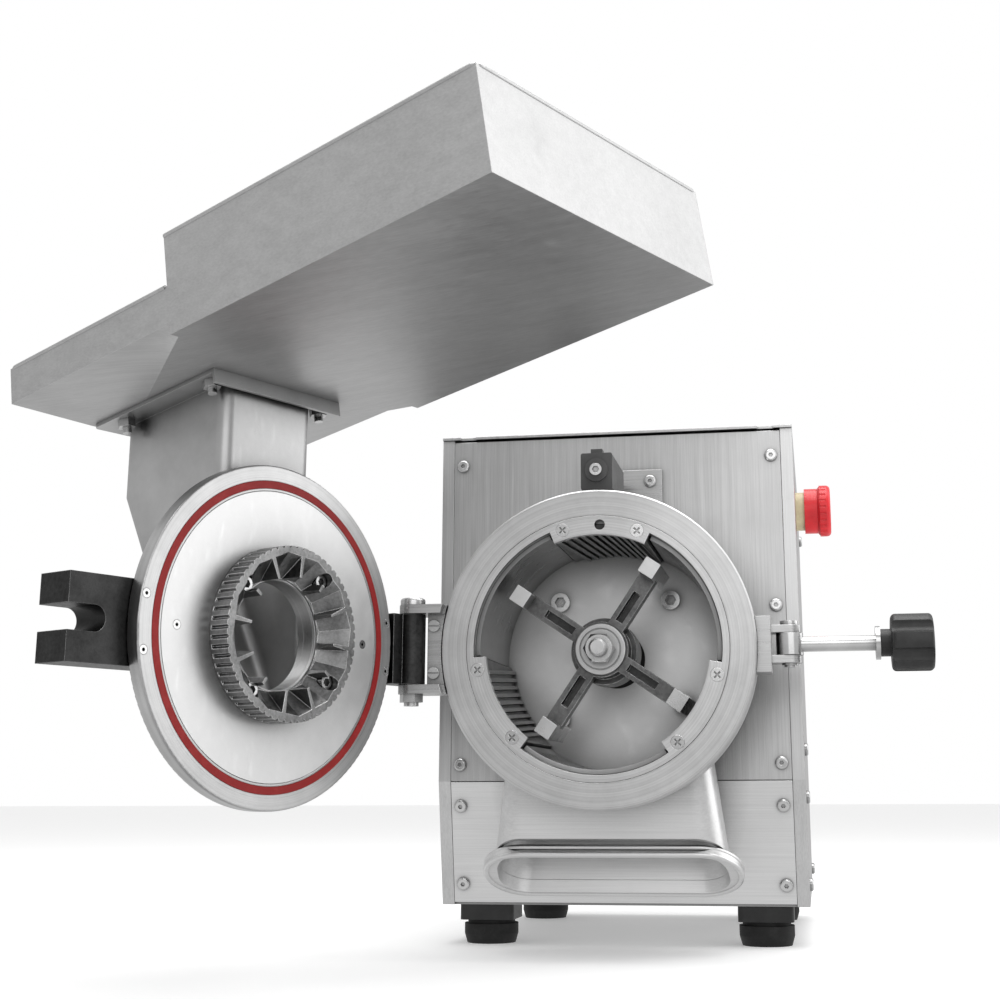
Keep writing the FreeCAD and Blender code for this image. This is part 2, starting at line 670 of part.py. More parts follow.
def smooth_liner(index):
    """A plain liner between two toothed ones."""
    gap = 1.0
    start = LINER_CENTRES[index] + LINER_HALF_ANGLE + gap
    end = LINER_CENTRES[(index + 1) % 3] - LINER_HALF_ANGLE - gap
    if end < start:
        end += 360
    outer = CHAMBER_R - LINER_GAP
    return arc_segment(outer, outer - LINER, start, end, LINER_FRONT, LINER_REAR)


def sieve():
    """The bottom liner, drilled all over above the outlet."""
    plate = smooth_liner(1)
    holes = []
    rows = 10
    columns = 9
    middle = (LINER_CENTRES[1] + LINER_CENTRES[2]) / 2
    for row in range(rows):
        y = RING_FACE + OUTLET_FRONT + 5 + row * (OUTLET_REAR - OUTLET_FRONT - 10) / (rows - 1)
        for column in range(columns):
            angle = middle + (column - (columns - 1) / 2 + (row % 2) * 0.5 - 0.25) * 6.6
            drill = rod_x(SIEVE_HOLE_R, CHAMBER_R - 8, CHAMBER_R + 4, y, SPINDLE_HEIGHT)
            holes.append(spin(drill, -angle))
    return plate.cut(Part.makeCompound(holes))


def retaining_ring():
    """The flat ring that holds the liners: narrow, with three wide lands."""
    outer = RECESS_R - LINER_GAP
    ring = tube_y(outer, RING_NARROW_R, RING_FACE, RING_FACE + RECESS_DEPTH)
    lands = []
    for centre in LINER_CENTRES:
        lands.append(arc_segment(outer, RING_LAND_R, centre - LINER_HALF_ANGLE, centre + LINER_HALF_ANGLE,
                                 RING_FACE, RING_FACE + RECESS_DEPTH))
    ring = union([ring] + lands)
    for x, z in ring_screw_places():
        ring = ring.cut(rod_y(RING_SCREW_HEAD * 0.5 + FIT, RING_FACE - 1, RING_FACE + 20, x, z))
        ring = ring.cut(Part.makeCone(RING_SCREW_HEAD + FIT, RING_SCREW_HEAD * 0.5 + FIT, RING_SCREW_DEPTH,
                                      V(x, RING_FACE, z), Y_AXIS))
    x, z = polar((RECESS_R + RING_LAND_R) / 2, LINER_CENTRES[0])
    return ring.cut(rod_y(3.6, RING_FACE - 1, RING_FACE + 20, x, z))


def retaining_ring_screws():
    return group([phillips_screw(x, z, RING_FACE, RING_SCREW_HEAD, RING_SCREW_DEPTH, RING_SCREW_LENGTH)
                  for x, z in ring_screw_places()])


def drum_flange_bolts():
    bolts = []
    for angle in DRUM_BOLT_ANGLES:
        x, z = polar(DRUM_BOLT_CIRCLE, angle)
        bolts.append(cap_screw(V(x, FLANGE_FRONT + DRUM_FLANGE, z), Y_AXIS, 5.0, 5.0, 3.0 - FIT, 13.0))
    return group(bolts)


# ---------------------------------------------------------------- spout
SPOUT_CENTRE = RING_FACE + (SPOUT_FRONT + SPOUT_REAR) / 2
SPOUT_MOUTH_Z = SPINDLE_HEIGHT - SPOUT_DROP
SPOUT_NORMAL = V(0, -math.sin(math.radians(SPOUT_TILT)), -math.cos(math.radians(SPOUT_TILT)))
SPOUT_MOUTH = V(0, SPOUT_CENTRE, SPOUT_MOUTH_Z)


def rounded_wire(half_x, half_y, corner, centre_y, z):
    """A rectangle with rounded corners in a level plane."""
    x, y, c = half_x, half_y, corner
    k = c * (1 - math.sqrt(0.5))
    edges = []
    corners = [(x, y), (-x, y), (-x, -y), (x, -y)]
    signs = [(1, 1), (-1, 1), (-1, -1), (1, -1)]
    ends = []
    for (cx, cy), (sx, sy) in zip(corners, signs):
        a = V(cx, centre_y + cy - sy * c, z)
        b = V(cx - sx * c, centre_y + cy, z)
        mid = V(cx - sx * k, centre_y + cy - sy * k, z)
        if sx * sy < 0:
            a, b = b, a
        ends.append((a, b))
        edges.append(Part.Arc(a, mid, b).toShape())
    wires = []
    for i in range(4):
        wires.append(edges[i])
        wires.append(Part.LineSegment(ends[i][1], ends[(i + 1) % 4][0]).toShape())
    return Part.Wire(wires)


def spout_form(inset):
    """The spout's flaring form, before its mouth and its saddle are cut."""
    half_depth = (SPOUT_REAR - SPOUT_FRONT) / 2 - inset
    top = rounded_wire(SPOUT_HALF_WIDTH - inset, half_depth, SPOUT_CORNER, SPOUT_CENTRE, SPINDLE_HEIGHT - 60)
    mouth = SPOUT_MOUTH_DEPTH / 2 - inset
    low = rounded_wire(SPOUT_HALF_WIDTH + SPOUT_FLARE - inset, mouth, mouth - 0.1, SPOUT_CENTRE,
                       SPOUT_MOUTH_Z - SPOUT_MOUTH_DEPTH / 2)
    return Part.makeLoft([top, low], True, True)


def below_mouth(offset):
    """Everything past the mouth's tilted plane, for trimming."""
    half = 150.0
    block = Part.makeBox(2 * half, 2 * half, half, V(-half, -half, -half))
    block.rotate(V(0, 0, 0), X_AXIS, -SPOUT_TILT)
    block.translate(SPOUT_MOUTH + SPOUT_NORMAL * offset)
    return block


def spout_chute():
    chute = spout_form(0).cut(spout_form(SPOUT_WALL))
    chute = chute.cut(rod_y(DRUM_R + SEAT, RING_FACE + RING_DEPTH, FRONT + 10))
    chute = chute.cut(rod_y(RING_R + SEAT, RING_FACE - 10, RING_FACE + RING_DEPTH + SEAT))
    return chute.cut(below_mouth(-SPOUT_FLANGE))


def stadium(width, depth, height, corner_share=1.0):
    """A flat plate with round ends, centred on the spout's mouth and lying in its plane."""
    radius = depth / 2 * corner_share
    plate = Part.makeBox(width, depth, height, V(-width / 2, -depth / 2, 0))
    edges = [e for e in plate.Edges if abs(abs(e.tangentAt(e.FirstParameter).dot(Z_AXIS)) - 1) < 1e-6]
    plate = plate.makeFillet(radius * 0.998, edges)
    return plate


def to_mouth(shape):
    shape.rotate(V(0, 0, 0), X_AXIS, -SPOUT_TILT)
    shape.translate(SPOUT_MOUTH)
    return shape


def spout_flange():
    """The rolled flange round the spout's mouth."""
    plate = stadium(SPOUT_FLANGE_WIDTH, SPOUT_FLANGE_DEPTH, SPOUT_FLANGE)
    rim = [e for e in plate.Edges if abs(e.CenterOfMass.z) < 0.01 or abs(e.CenterOfMass.z - SPOUT_FLANGE) < 0.01]
    plate = to_mouth(plate.makeFillet(2.2, rim))
    return plate.cut(spout_form(SPOUT_WALL))


# ---------------------------------------------------------------- rotor
ARM_FRONT = RING_FACE + HUB_FRONT
HUB_REAR = ARM_FRONT + HUB_DEPTH


def rotor_hub():
    """The cast hub with four slotted arms."""
    hub = rod_y(HUB_R + 1.5, ARM_FRONT, HUB_REAR)
    boss = rod_y(BOSS_R, ARM_FRONT + ARM_THICK + 4, HUB_REAR + 14)
    parts = [hub, boss]
    arm_end = HAMMER_RADIUS - HAMMER_SIDE / 2 + 1.5
    for angle in ARM_ANGLES:
        arm = box(HUB_R - 4, arm_end, ARM_FRONT, ARM_FRONT + ARM_THICK,
                  SPINDLE_HEIGHT - ARM_WIDTH / 2, SPINDLE_HEIGHT + ARM_WIDTH / 2)
        slot = box(HUB_R + 5, arm_end - 14, ARM_FRONT - 1, ARM_FRONT + ARM_THICK * 0.6,
                   SPINDLE_HEIGHT - ARM_WIDTH * 0.22, SPINDLE_HEIGHT + ARM_WIDTH * 0.22)
        rib = box(HUB_R - 4, arm_end - 10, ARM_FRONT + ARM_THICK - 1, ARM_FRONT + ARM_THICK + 10,
                  SPINDLE_HEIGHT - 3.5, SPINDLE_HEIGHT + 3.5)
        parts.append(spin(arm.cut(slot).fuse(rib), -angle))
    hub = union(parts)
    seat = HAMMER_SIDE / 2 + 0.02
    for angle in ARM_ANGLES:
        pocket = box(HAMMER_RADIUS - seat, HAMMER_RADIUS + 20, ARM_FRONT - 40, ARM_FRONT + 60,
                     SPINDLE_HEIGHT - seat, SPINDLE_HEIGHT + seat)
        hub = hub.cut(spin(pocket, -angle))
    return hub.cut(rod_y(SHAFT_R, ARM_FRONT - 1, HUB_REAR + 40))


def hammers():
    """Four square beater bars, each fixed to the end of its arm."""
    bars = []
    half = HAMMER_SIDE / 2
    for angle in ARM_ANGLES:
        bar = rounded(HAMMER_RADIUS - half, HAMMER_RADIUS + half, RING_FACE + HAMMER_FRONT,
                      RING_FACE + HAMMER_FRONT + HAMMER_LENGTH, SPINDLE_HEIGHT - half, SPINDLE_HEIGHT + half,
                      0.6, Y_AXIS)
        bars.append(spin(bar, -angle))
    return group(bars)


WASHER_THICK = 3.0


def rotor_washer():
    washer = tube_y(HUB_R, STUD_R + 0.2, ARM_FRONT - WASHER_THICK, ARM_FRONT)
    edges = [e for e in washer.Edges if abs(e.CenterOfMass.y - (ARM_FRONT - WASHER_THICK)) < 0.01]
    washer = washer.makeFillet(0.8, edges)
    groove = tube_y(HUB_R - 3.2, HUB_R - 4.2, ARM_FRONT - WASHER_THICK - 1, ARM_FRONT - WASHER_THICK + 0.8)
    return washer.cut(groove)


def rotor_nut():
    front = ARM_FRONT - WASHER_THICK - NUT_HEIGHT
    nut = hexagon(NUT_AF, NUT_HEIGHT, V(0, front, SPINDLE_HEIGHT), Y_AXIS)
    chamfer = Part.makeCone(NUT_AF / 2 - 0.5, NUT_AF / 2 + 4.5, 5.0, V(0, front, SPINDLE_HEIGHT), Y_AXIS)
    body = rod_y(NUT_AF, front + 5.0, front + NUT_HEIGHT)
    return nut.common(chamfer.fuse(body)).cut(rod_y(STUD_R + 0.02, front - 1, front + 20))


def shaft():
    """The motor shaft: stud end, hub seat, bearing seats and fan seat."""
    end = MOTOR_REAR + 24.0
    body = rod_y(SHAFT_R - 0.02, ARM_FRONT, end)
    stud = rod_y(STUD_R, RING_FACE + STUD_FRONT, ARM_FRONT + 1)
    tip = [e for e in stud.Edges if abs(e.CenterOfMass.y - RING_FACE - STUD_FRONT) < 0.01 and len(e.Vertexes) == 1]
    return union([stud.makeChamfer(1.4, tip), body])


# ---------------------------------------------------------------- motor
def motor_housing():
    """The finned housing with the stator pressed into it."""
    shell = rod_y(MOTOR_R, MOTOR_BODY_FRONT, MOTOR_BODY_REAR)
    fins = []
    count = 28
    for i in range(count):
        angle = 360.0 * i / count
        if 60 < angle < 120 or 245 < angle < 295:
            continue
        fin = box(MOTOR_R - 2, MOTOR_R + MOTOR_FIN, MOTOR_BODY_FRONT + 4, MOTOR_BODY_REAR - 4,
                  SPINDLE_HEIGHT - 1, SPINDLE_HEIGHT + 1)
        fins.append(spin(fin, -angle))
    shell = shell.multiFuse(fins)
    shell = shell.cut(rod_y(MOTOR_R - 27, MOTOR_BODY_FRONT - 1, MOTOR_BODY_REAR + 1))
    stator = tube_y(MOTOR_R - 26, STATOR_BORE, MOTOR_BODY_FRONT + STATOR_END, MOTOR_BODY_REAR - STATOR_END)
    return shell.fuse(stator).removeSplitter()


def end_shield(y0, y1, bearing_y0):
    shield = rod_y(MOTOR_R + 1, y0, y1)
    seat = rod_y(BEARING_R + 0.02, bearing_y0, bearing_y0 + BEARING_WIDTH)
    bore = rod_y(SHAFT_R + 2, y0 - 1, y1 + 1)
    return shield.cut(seat).cut(bore)


FRONT_BEARING_Y = MOTOR_FRONT + 3.0
REAR_BEARING_Y = MOTOR_BODY_REAR


def bearing(y0):
    """A deep-groove bearing drawn as one ring with its two grooves."""
    ring = tube_y(BEARING_R, SHAFT_R + RUNNING - 0.02, y0, y0 + BEARING_WIDTH)
    for y in (y0 - 1, y0 + BEARING_WIDTH - 1):
        ring = ring.cut(tube_y(BEARING_R - 3, SHAFT_R + 3, y, y + 2))
    return ring


def motor_fan():
    hub = tube_y(20, SHAFT_R, MOTOR_REAR + 6, MOTOR_REAR + 22)
    disc = tube_y(FAN_R - 6, 19, MOTOR_REAR + 6, MOTOR_REAR + 9)
    blades = []
    for i in range(9):
        blade = box(18, FAN_R - 8, MOTOR_REAR + 8, MOTOR_REAR + 22, SPINDLE_HEIGHT - 1, SPINDLE_HEIGHT + 1)
        blades.append(spin(blade, 40 * i))
    return union([hub, disc] + blades)


def fan_cowl():
    """The pressed cap over the fan, with a grille at its back."""
    cowl = rod_y(MOTOR_R + 3, MOTOR_REAR - SHIELD + 2, MOTOR_REAR + COWL - SHIELD)
    cowl = cowl.cut(rod_y(MOTOR_R + 1.3, MOTOR_REAR - SHIELD - 1, MOTOR_REAR + COWL - SHIELD - 2))
    windows = []
    for ring in range(3):
        inner = 16 + ring * 15
        windows.append(tube_y(inner + 9, inner, MOTOR_REAR + COWL - SHIELD - 5, MOTOR_REAR + COWL))
    spokes = Part.makeCompound([spin(box(-80, 80, MOTOR_REAR, MOTOR_REAR + COWL + 5, SPINDLE_HEIGHT - 2,
                                         SPINDLE_HEIGHT + 2), turn) for turn in (0, 60, 120)])
    for window in windows:
        cowl = cowl.cut(window.cut(spokes))
    return cowl


def motor_cradle():
    """Two saddles under the motor, standing on the base plate."""
    saddles = []
    for y in (MOTOR_BODY_FRONT + 22, MOTOR_BODY_REAR - 34):
        block = prism([(-60, y, BASE_TOP), (60, y, BASE_TOP), (46, y, SPINDLE_HEIGHT - 52), (-46, y, SPINDLE_HEIGHT - 52)],
                      V(0, 12, 0))
        window = prism([(-42, y - 1, BASE_TOP + 10), (42, y - 1, BASE_TOP + 10),
                        (34, y - 1, SPINDLE_HEIGHT - MOTOR_R - 14), (-34, y - 1, SPINDLE_HEIGHT - MOTOR_R - 14)],
                       V(0, 14, 0))
        block = block.cut(window)
        saddles.append(block.cut(rod_y(MOTOR_R + MOTOR_FIN + 0.2, y - 1, y + 20)))
    return group(saddles)


def terminal_box():
    z0 = SPINDLE_HEIGHT + MOTOR_R - 4
    middle = (MOTOR_BODY_FRONT + MOTOR_BODY_REAR) / 2
    body = rounded(-42, 42, middle - 40, middle + 40, z0, z0 + 46, 6.0, Z_AXIS)
    body = body.cut(rod_y(MOTOR_R + SEAT, MOTOR_BODY_FRONT, MOTOR_BODY_REAR))
    lid = rounded(-45, 45, middle - 43, middle + 43, z0 + 46, z0 + 51, 7.0, Z_AXIS)
    return body.fuse(lid).removeSplitter()


# ---------------------------------------------------------------- interlock switch
SWITCH_Z0 = SPINDLE_HEIGHT + RING_R + 1.5
SWITCH_Y0 = RING_FACE + SWITCH_FRONT


def interlock_switch():
    """The door switch lying along the top of the drum."""
    half = SWITCH_WIDTH / 2
    body = rounded(-half, half, SWITCH_Y0, SWITCH_Y0 + SWITCH_LENGTH, SWITCH_Z0, SWITCH_Z0 + SWITCH_HEIGHT, 1.5, Y_AXIS)
    middle = SWITCH_Z0 + SWITCH_HEIGHT * 0.52
    boss = rod_y(8.0, SWITCH_Y0 - 2.5, SWITCH_Y0 + 1, 0, middle)
    tab = box(-4, 4, SWITCH_Y0 + 1, SWITCH_Y0 + 9, SWITCH_Z0 + SWITCH_HEIGHT - 1, SWITCH_Z0 + SWITCH_HEIGHT + 3)
    body = union([body, boss, tab])
    return body.cut(rod_y(3.0, SWITCH_Y0 - 5, SWITCH_Y0 + 12, 0, middle))


def interlock_screw():
    middle = SWITCH_Z0 + SWITCH_HEIGHT * 0.52
    return cap_screw(V(0, SWITCH_Y0 - 2.5, middle), -Y_AXIS, 4.2, 2.6, 3.0 - FIT, 12.0)


PLATE_THICK = 3.0


def interlock_bracket():
    """The saddle that carries the switch: a foot on the drum and a plate on the front panel."""
    half = SWITCH_WIDTH / 2 + 5
    foot = box(-half, half, SWITCH_Y0 + 12, FRONT, SWITCH_Z0 - 10, SWITCH_Z0)
    foot = foot.cut(rod_y(RING_R + SEAT, RING_FACE - 1, RING_FACE + RING_DEPTH))
    foot = foot.cut(rod_y(DRUM_R + SEAT, RING_FACE + RING_DEPTH - 1, FRONT + 1))
    x, z = SWITCH_PLATE_SCREW
    plate = box(-half, x + 9, FRONT - PLATE_THICK, FRONT, SWITCH_Z0 - 4, z + 9)
    bracket = foot.fuse(plate).removeSplitter()
    return bracket.cut(rod_y(SCREW_SHANK_R + FIT, FRONT - 10, FRONT + 1, x, z))


def interlock_bracket_screw():
    x, z = SWITCH_PLATE_SCREW
    return button_screw(V(x, FRONT - PLATE_THICK, z), -Y_AXIS, length=9.0)


# ---------------------------------------------------------------- hinge
EAR_INNER = EAR_HALF_HEIGHT - EAR


def hinge_bracket():
    """The fixed half of the hinge: a pad on the side of the drum with two ears."""
    y0 = RING_FACE - 6.0
    y1 = RING_FACE + 20.0
    pad = box(HINGE_X + KNUCKLE_R + 1.5, -RING_R + 8, RING_FACE + 1.0, y1, SPINDLE_HEIGHT - EAR_HALF_HEIGHT,
              SPINDLE_HEIGHT + EAR_HALF_HEIGHT)
    parts = [pad]
    for side in (-1, 1):
        z0 = SPINDLE_HEIGHT + min(side * EAR_INNER, side * EAR_HALF_HEIGHT)
        ear = box(HINGE_X, -RING_R + 8, RING_FACE - KNUCKLE_R, y1, z0, z0 + EAR)
        parts.append(ear)
        parts.append(rod_z(KNUCKLE_R, z0, z0 + EAR, HINGE_X, RING_FACE))
    bracket = union(parts)
    bracket = bracket.cut(rod_y(RING_R + SEAT, y0 - 20, y1 + 1))
    bracket = bracket.cut(rod_y(DOOR_R + 2.5, RING_FACE - 30, RING_FACE - 0.5))
    for side in (-1, 1):
        z = SPINDLE_HEIGHT + side * HINGE_SCREW_Z
        bracket = bracket.cut(rod_y(2.2, y0 - 20, y1 - 3, HINGE_PAD_SCREW_X, z))
    return bracket.cut(rod_z(PIN_R, SPINDLE_HEIGHT - 50, SPINDLE_HEIGHT + 50, HINGE_X, RING_FACE))


HINGE_SCREW_Z = 16.0
HINGE_PAD_SCREW_X = -(RING_R + 5.0)


def hinge_bracket_screws():
    """Slotted cheese-head screws in the hinge pad."""
    screws = []
    for side in (-1, 1):
        z = SPINDLE_HEIGHT + side * HINGE_SCREW_Z
        head = rod_y(4.0, RING_FACE - 0.7, RING_FACE + 1.0, HINGE_PAD_SCREW_X, z)
        shank = rod_y(2.2 - FIT, RING_FACE + 1.0, RING_FACE + 14, HINGE_PAD_SCREW_X, z)
        slot = box(HINGE_PAD_SCREW_X - 5, HINGE_PAD_SCREW_X + 5, RING_FACE - 3, RING_FACE + 0.2, z - 0.6, z + 0.6)
        screws.append(head.fuse(shank).cut(slot))
    return group(screws)


def hinge_pin():
    """The headed pin with its nut at the lower end."""
    top = SPINDLE_HEIGHT + EAR_HALF_HEIGHT
    bottom = SPINDLE_HEIGHT - EAR_HALF_HEIGHT
    pin = rod_z(PIN_R - 0.02, bottom - 8, top, HINGE_X, RING_FACE)
    head = rod_z(PIN_R + 3.5, top, top + 5, HINGE_X, RING_FACE)
    edges = [e for e in head.Edges if len(e.Vertexes) == 1 and e.CenterOfMass.z > top + 4]
    head = head.makeFillet(2.0, edges)
    nut = hexagon(14.0, 5.5, V(HINGE_X, RING_FACE, bottom), -Z_AXIS)
    return union([pin, head, nut])


# ---------------------------------------------------------------- door (modelled closed)
def door_disc():
    """The heavy door plate, with the seal groove and the feed hole."""
    disc = rod_y(DOOR_R, DOOR_REAR, DOOR_FACE)
    rim = [e for e in disc.Edges if len(e.Vertexes) == 1]
    disc = disc.makeFillet(1.0, rim)
    disc = disc.cut(tube_y(SEAL_R + SEAL_WIDTH, SEAL_R, DOOR_FACE - SEAL_DEPTH, DOOR_FACE + 1))
    disc = disc.cut(rod_y(INNER_PLATE_R + LINER_GAP, DOOR_FACE - INNER_PLATE, DOOR_FACE + 1))
    disc = disc.cut(rod_y(FEED_HOLE_R, DOOR_REAR - 1, DOOR_FACE + 1))
    for x, z in crown_screw_places():
        disc = disc.cut(rod_y(CROWN_SCREW_R, DOOR_REAR - 1, DOOR_FACE, x, z))
    for x, z in door_screw_places():
        disc = disc.cut(rod_y(DOOR_SCREW_R, DOOR_REAR - 1, DOOR_FACE + 1, x, z))
    return disc


INNER_PLATE = 2.0
CROWN_SCREW_R = 2.5
CROWN_SCREW_CIRCLE = 44.5
CROWN_SCREW_ANGLES = (38.0, 128.0, 218.0, 308.0)
DOOR_SCREW_R = 2.9


def crown_screw_places():
    return [polar(CROWN_SCREW_CIRCLE, angle) for angle in CROWN_SCREW_ANGLES]


def door_screw_places():
    """Three screws each side, for the hinge leaf and the latch lug."""
    places = []
    for side in (-1, 1):
        for x, z in ((101.0, 16.0), (101.0, -16.0), (78.0, 0.0)):
            places.append((side * x, SPINDLE_HEIGHT + z))
    return places


def inner_plate():
    plate = tube_y(INNER_PLATE_R, FEED_HOLE_R, DOOR_FACE - INNER_PLATE, DOOR_FACE)
    for x, z in crown_screw_places():
        plate = plate.cut(rod_y(CROWN_SCREW_R, DOOR_REAR, DOOR_FACE + 1, x, z))
    for x, z in door_screw_places():
        plate = plate.cut(rod_y(DOOR_SCREW_R, DOOR_REAR, DOOR_FACE + 1, x, z))
    return plate


def door_seal():
    seal = tube_y(SEAL_R + SEAL_WIDTH - 0.1, SEAL_R + 0.1, DOOR_FACE - SEAL_DEPTH, DOOR_FACE + SEAL_PROUD)
    return seal


def crown():
    """The fixed breaker crown: fine ribs outside, V-ridges in the conical mouth."""
    y1 = DOOR_FACE + CROWN_DEPTH
    body = rod_y(CROWN_R, DOOR_FACE, y1)
    body = body.cut(rod_y(CROWN_BORE, DOOR_FACE - 1, y1 + 1))
    grooves = []
    depth = 1.6
    for i in range(CROWN_RIBS):
        angle = 360.0 * i / CROWN_RIBS
        half = math.pi * CROWN_R / CROWN_RIBS * 0.5
        notch = prism([(CROWN_R - depth, DOOR_FACE + 2, SPINDLE_HEIGHT),
                       (CROWN_R + 1, DOOR_FACE + 2, SPINDLE_HEIGHT - half * 1.6),
                       (CROWN_R + 1, DOOR_FACE + 2, SPINDLE_HEIGHT + half * 1.6)], V(0, CROWN_DEPTH, 0))
        grooves.append(spin(notch, angle))
    body = body.cut(Part.makeCompound(grooves))
    facets = []
    for i in range(CROWN_LOBES):
        angle = 360.0 * i / CROWN_LOBES
        half_low = math.pi * CROWN_BORE / CROWN_LOBES * 0.86
        half_high = math.pi * CROWN_MOUTH / CROWN_LOBES * 0.86
        low = [V(CROWN_BORE - 8, DOOR_FACE + 1, SPINDLE_HEIGHT - half_low * 0.8),
               V(CROWN_BORE - 0.5, DOOR_FACE + 1, SPINDLE_HEIGHT - half_low * 0.9),
               V(CROWN_BORE + 1.5, DOOR_FACE + 1, SPINDLE_HEIGHT),
               V(CROWN_BORE - 0.5, DOOR_FACE + 1, SPINDLE_HEIGHT + half_low * 0.9),
               V(CROWN_BORE - 8, DOOR_FACE + 1, SPINDLE_HEIGHT + half_low * 0.8)]
        high = [V(CROWN_BORE - 8, y1 + 0.5, SPINDLE_HEIGHT - half_high * 0.6),
                V(CROWN_MOUTH - 2.5, y1 + 0.5, SPINDLE_HEIGHT - half_high),
                V(CROWN_MOUTH + 0.5, y1 + 0.5, SPINDLE_HEIGHT),
                V(CROWN_MOUTH - 2.5, y1 + 0.5, SPINDLE_HEIGHT + half_high),
                V(CROWN_BORE - 8, y1 + 0.5, SPINDLE_HEIGHT + half_high * 0.6)]
        facet = Part.makeLoft([Part.makePolygon(low + low[:1]), Part.makePolygon(high + high[:1])], True, True)
        facets.append(spin(facet, angle + 8))
    for facet in facets:
        body = body.cut(facet)
    for x, z in crown_screw_places():
        body = body.cut(rod_y(CROWN_SCREW_R + FIT, DOOR_FACE - 1, y1 + 1, x, z))
        body = body.cut(rod_y(5.0, DOOR_FACE + CROWN_DEPTH * 0.35, y1 + 1, x, z))
    return body


def crown_screws():
    screws = []
    seat_y = DOOR_FACE + CROWN_DEPTH * 0.35
    for x, z in crown_screw_places():
        length = seat_y - DOOR_REAR - 1.0
        screws.append(cap_screw(V(x, seat_y, z), Y_AXIS, 4.4, 5.0, CROWN_SCREW_R - FIT, length))
    return group(screws)


def door_screws():
    """Small screws from the inside of the door into the hinge leaf and the latch lug."""
    screws = []
    for x, z in door_screw_places():
        screw = rod_y(DOOR_SCREW_R - FIT, DOOR_REAR - 3.0, DOOR_FACE, x, z)
        socket = hexagon(2.0, 3.0, V(x, DOOR_FACE, z), -Y_AXIS)
        screws.append(screw.cut(socket))
    return group(screws)


LEAF_THICK = 6.0


def hinge_leaf():
    """The moving half of the hinge: a knuckle and a strap on the back of the door."""
    z0 = SPINDLE_HEIGHT - EAR_INNER + EAR_GAP
    z1 = SPINDLE_HEIGHT + EAR_INNER - EAR_GAP
    knuckle = rod_z(KNUCKLE_R, z0, z1, HINGE_X, RING_FACE)
    web = box(HINGE_X - KNUCKLE_R, -DOOR_R - 3, DOOR_REAR - LEAF_THICK, RING_FACE - 1, z0, z1)
    strap = box(HINGE_X - KNUCKLE_R, -LUG_START, DOOR_REAR - LEAF_THICK, DOOR_REAR, z0, z1)
    leaf = union([knuckle, web, strap])
    leaf = leaf.cut(rod_y(DOOR_R + 0.3, DOOR_REAR, DOOR_FACE + 5))
    for x, z in door_screw_places():
        leaf = leaf.cut(rod_y(DOOR_SCREW_R, DOOR_REAR - LEAF_THICK - 1, DOOR_REAR + 1, x, z))
    return leaf.cut(rod_z(PIN_R + PIN_CLEARANCE - 0.02, z0 - 1, z1 + 1, HINGE_X, RING_FACE))


def latch_lug():
    """The channel on the free edge of the door, with the slot that takes the swing bolt."""
    z0 = SPINDLE_HEIGHT - LUG_HALF_HEIGHT
    z1 = SPINDLE_HEIGHT + LUG_HALF_HEIGHT
    body = box(LUG_START, LUG_END, DOOR_REAR - LUG_DEPTH, DOOR_REAR, z0, z1)
    hollow = box(LUG_START + LUG_WALL, LUG_END - LUG_WALL - 30, DOOR_REAR - LUG_DEPTH - 1, DOOR_REAR - LUG_WALL,
                 z0 + LUG_WALL, z1 - LUG_WALL)
    slot_half = BOLT_R + 2.5
    slot = box(BOLT_PIN_X, LUG_END + 1, DOOR_REAR - LUG_DEPTH - 1, DOOR_REAR + 1, SPINDLE_HEIGHT - slot_half,
               SPINDLE_HEIGHT + slot_half)
    slot = slot.fuse(rod_y(slot_half, DOOR_REAR - LUG_DEPTH - 1, DOOR_REAR + 1, BOLT_PIN_X))
    body = body.cut(hollow).cut(slot)
    for x, z in door_screw_places():
        body = body.cut(rod_y(DOOR_SCREW_R, DOOR_REAR - LUG_DEPTH, DOOR_REAR + 1, x, z))
    return body


# ---------------------------------------------------------------- hopper (modelled closed)
HALF_HOPPER = HOPPER_WIDTH / 2
FUNNEL_END = TRAY_LENGTH + FUNNEL_LENGTH
SLOPE = math.radians(HOPPER_SLOPE)
DUCT_FRONT_Y = DOOR_REAR - 2.5
OUTLET_START = (HOPPER_FAR_END + RING_FACE - DUCT_FRONT_Y) / math.cos(SLOPE) + 1.0
OUTLET_END = OUTLET_START + DUCT_DEPTH / math.cos(SLOPE)


def to_hopper(shape):
    """Places a shape given along the tray (length towards -Y, floor at z 0) on the closed door."""
    shape.rotate(V(0, 0, 0), X_AXIS, HOPPER_SLOPE)
    shape.translate(V(0, RING_FACE + HOPPER_FAR_END, SPINDLE_HEIGHT + HOPPER_FAR_HEIGHT))
    return shape


def funnel_form(inset, top):
    """The front of the hopper: a level rim whose sides slope in to the floor."""
    half = HALF_HOPPER - inset
    foot = DUCT_HALF_WIDTH + DUCT_FLANGE_RIM - inset
    start = -TRAY_LENGTH + (1.0 if inset else 0.0)
    knee = -OUTLET_START - FUNNEL_KNEE
    end = -FUNNEL_END + inset
    turn = -OUTLET_END - 12.0 + inset
    rim_z = FUNNEL_DROP + inset
    rim = [V(-half, start, rim_z), V(half, start, rim_z), V(half, knee, rim_z), V(half, end, rim_z),
           V(-half, end, rim_z), V(-half, knee, rim_z)]
    floor = [V(-half + 6, start, inset), V(half - 6, start, inset), V(foot, knee, inset), V(foot, turn, inset),
             V(-foot, turn, inset), V(-foot, knee, inset)]
    slope = Part.makeLoft([Part.makePolygon(floor + floor[:1]), Part.makePolygon(rim + rim[:1])], True, True)
    walls = box(-half, half, end, start, rim_z, top)
    return slope.fuse(walls)


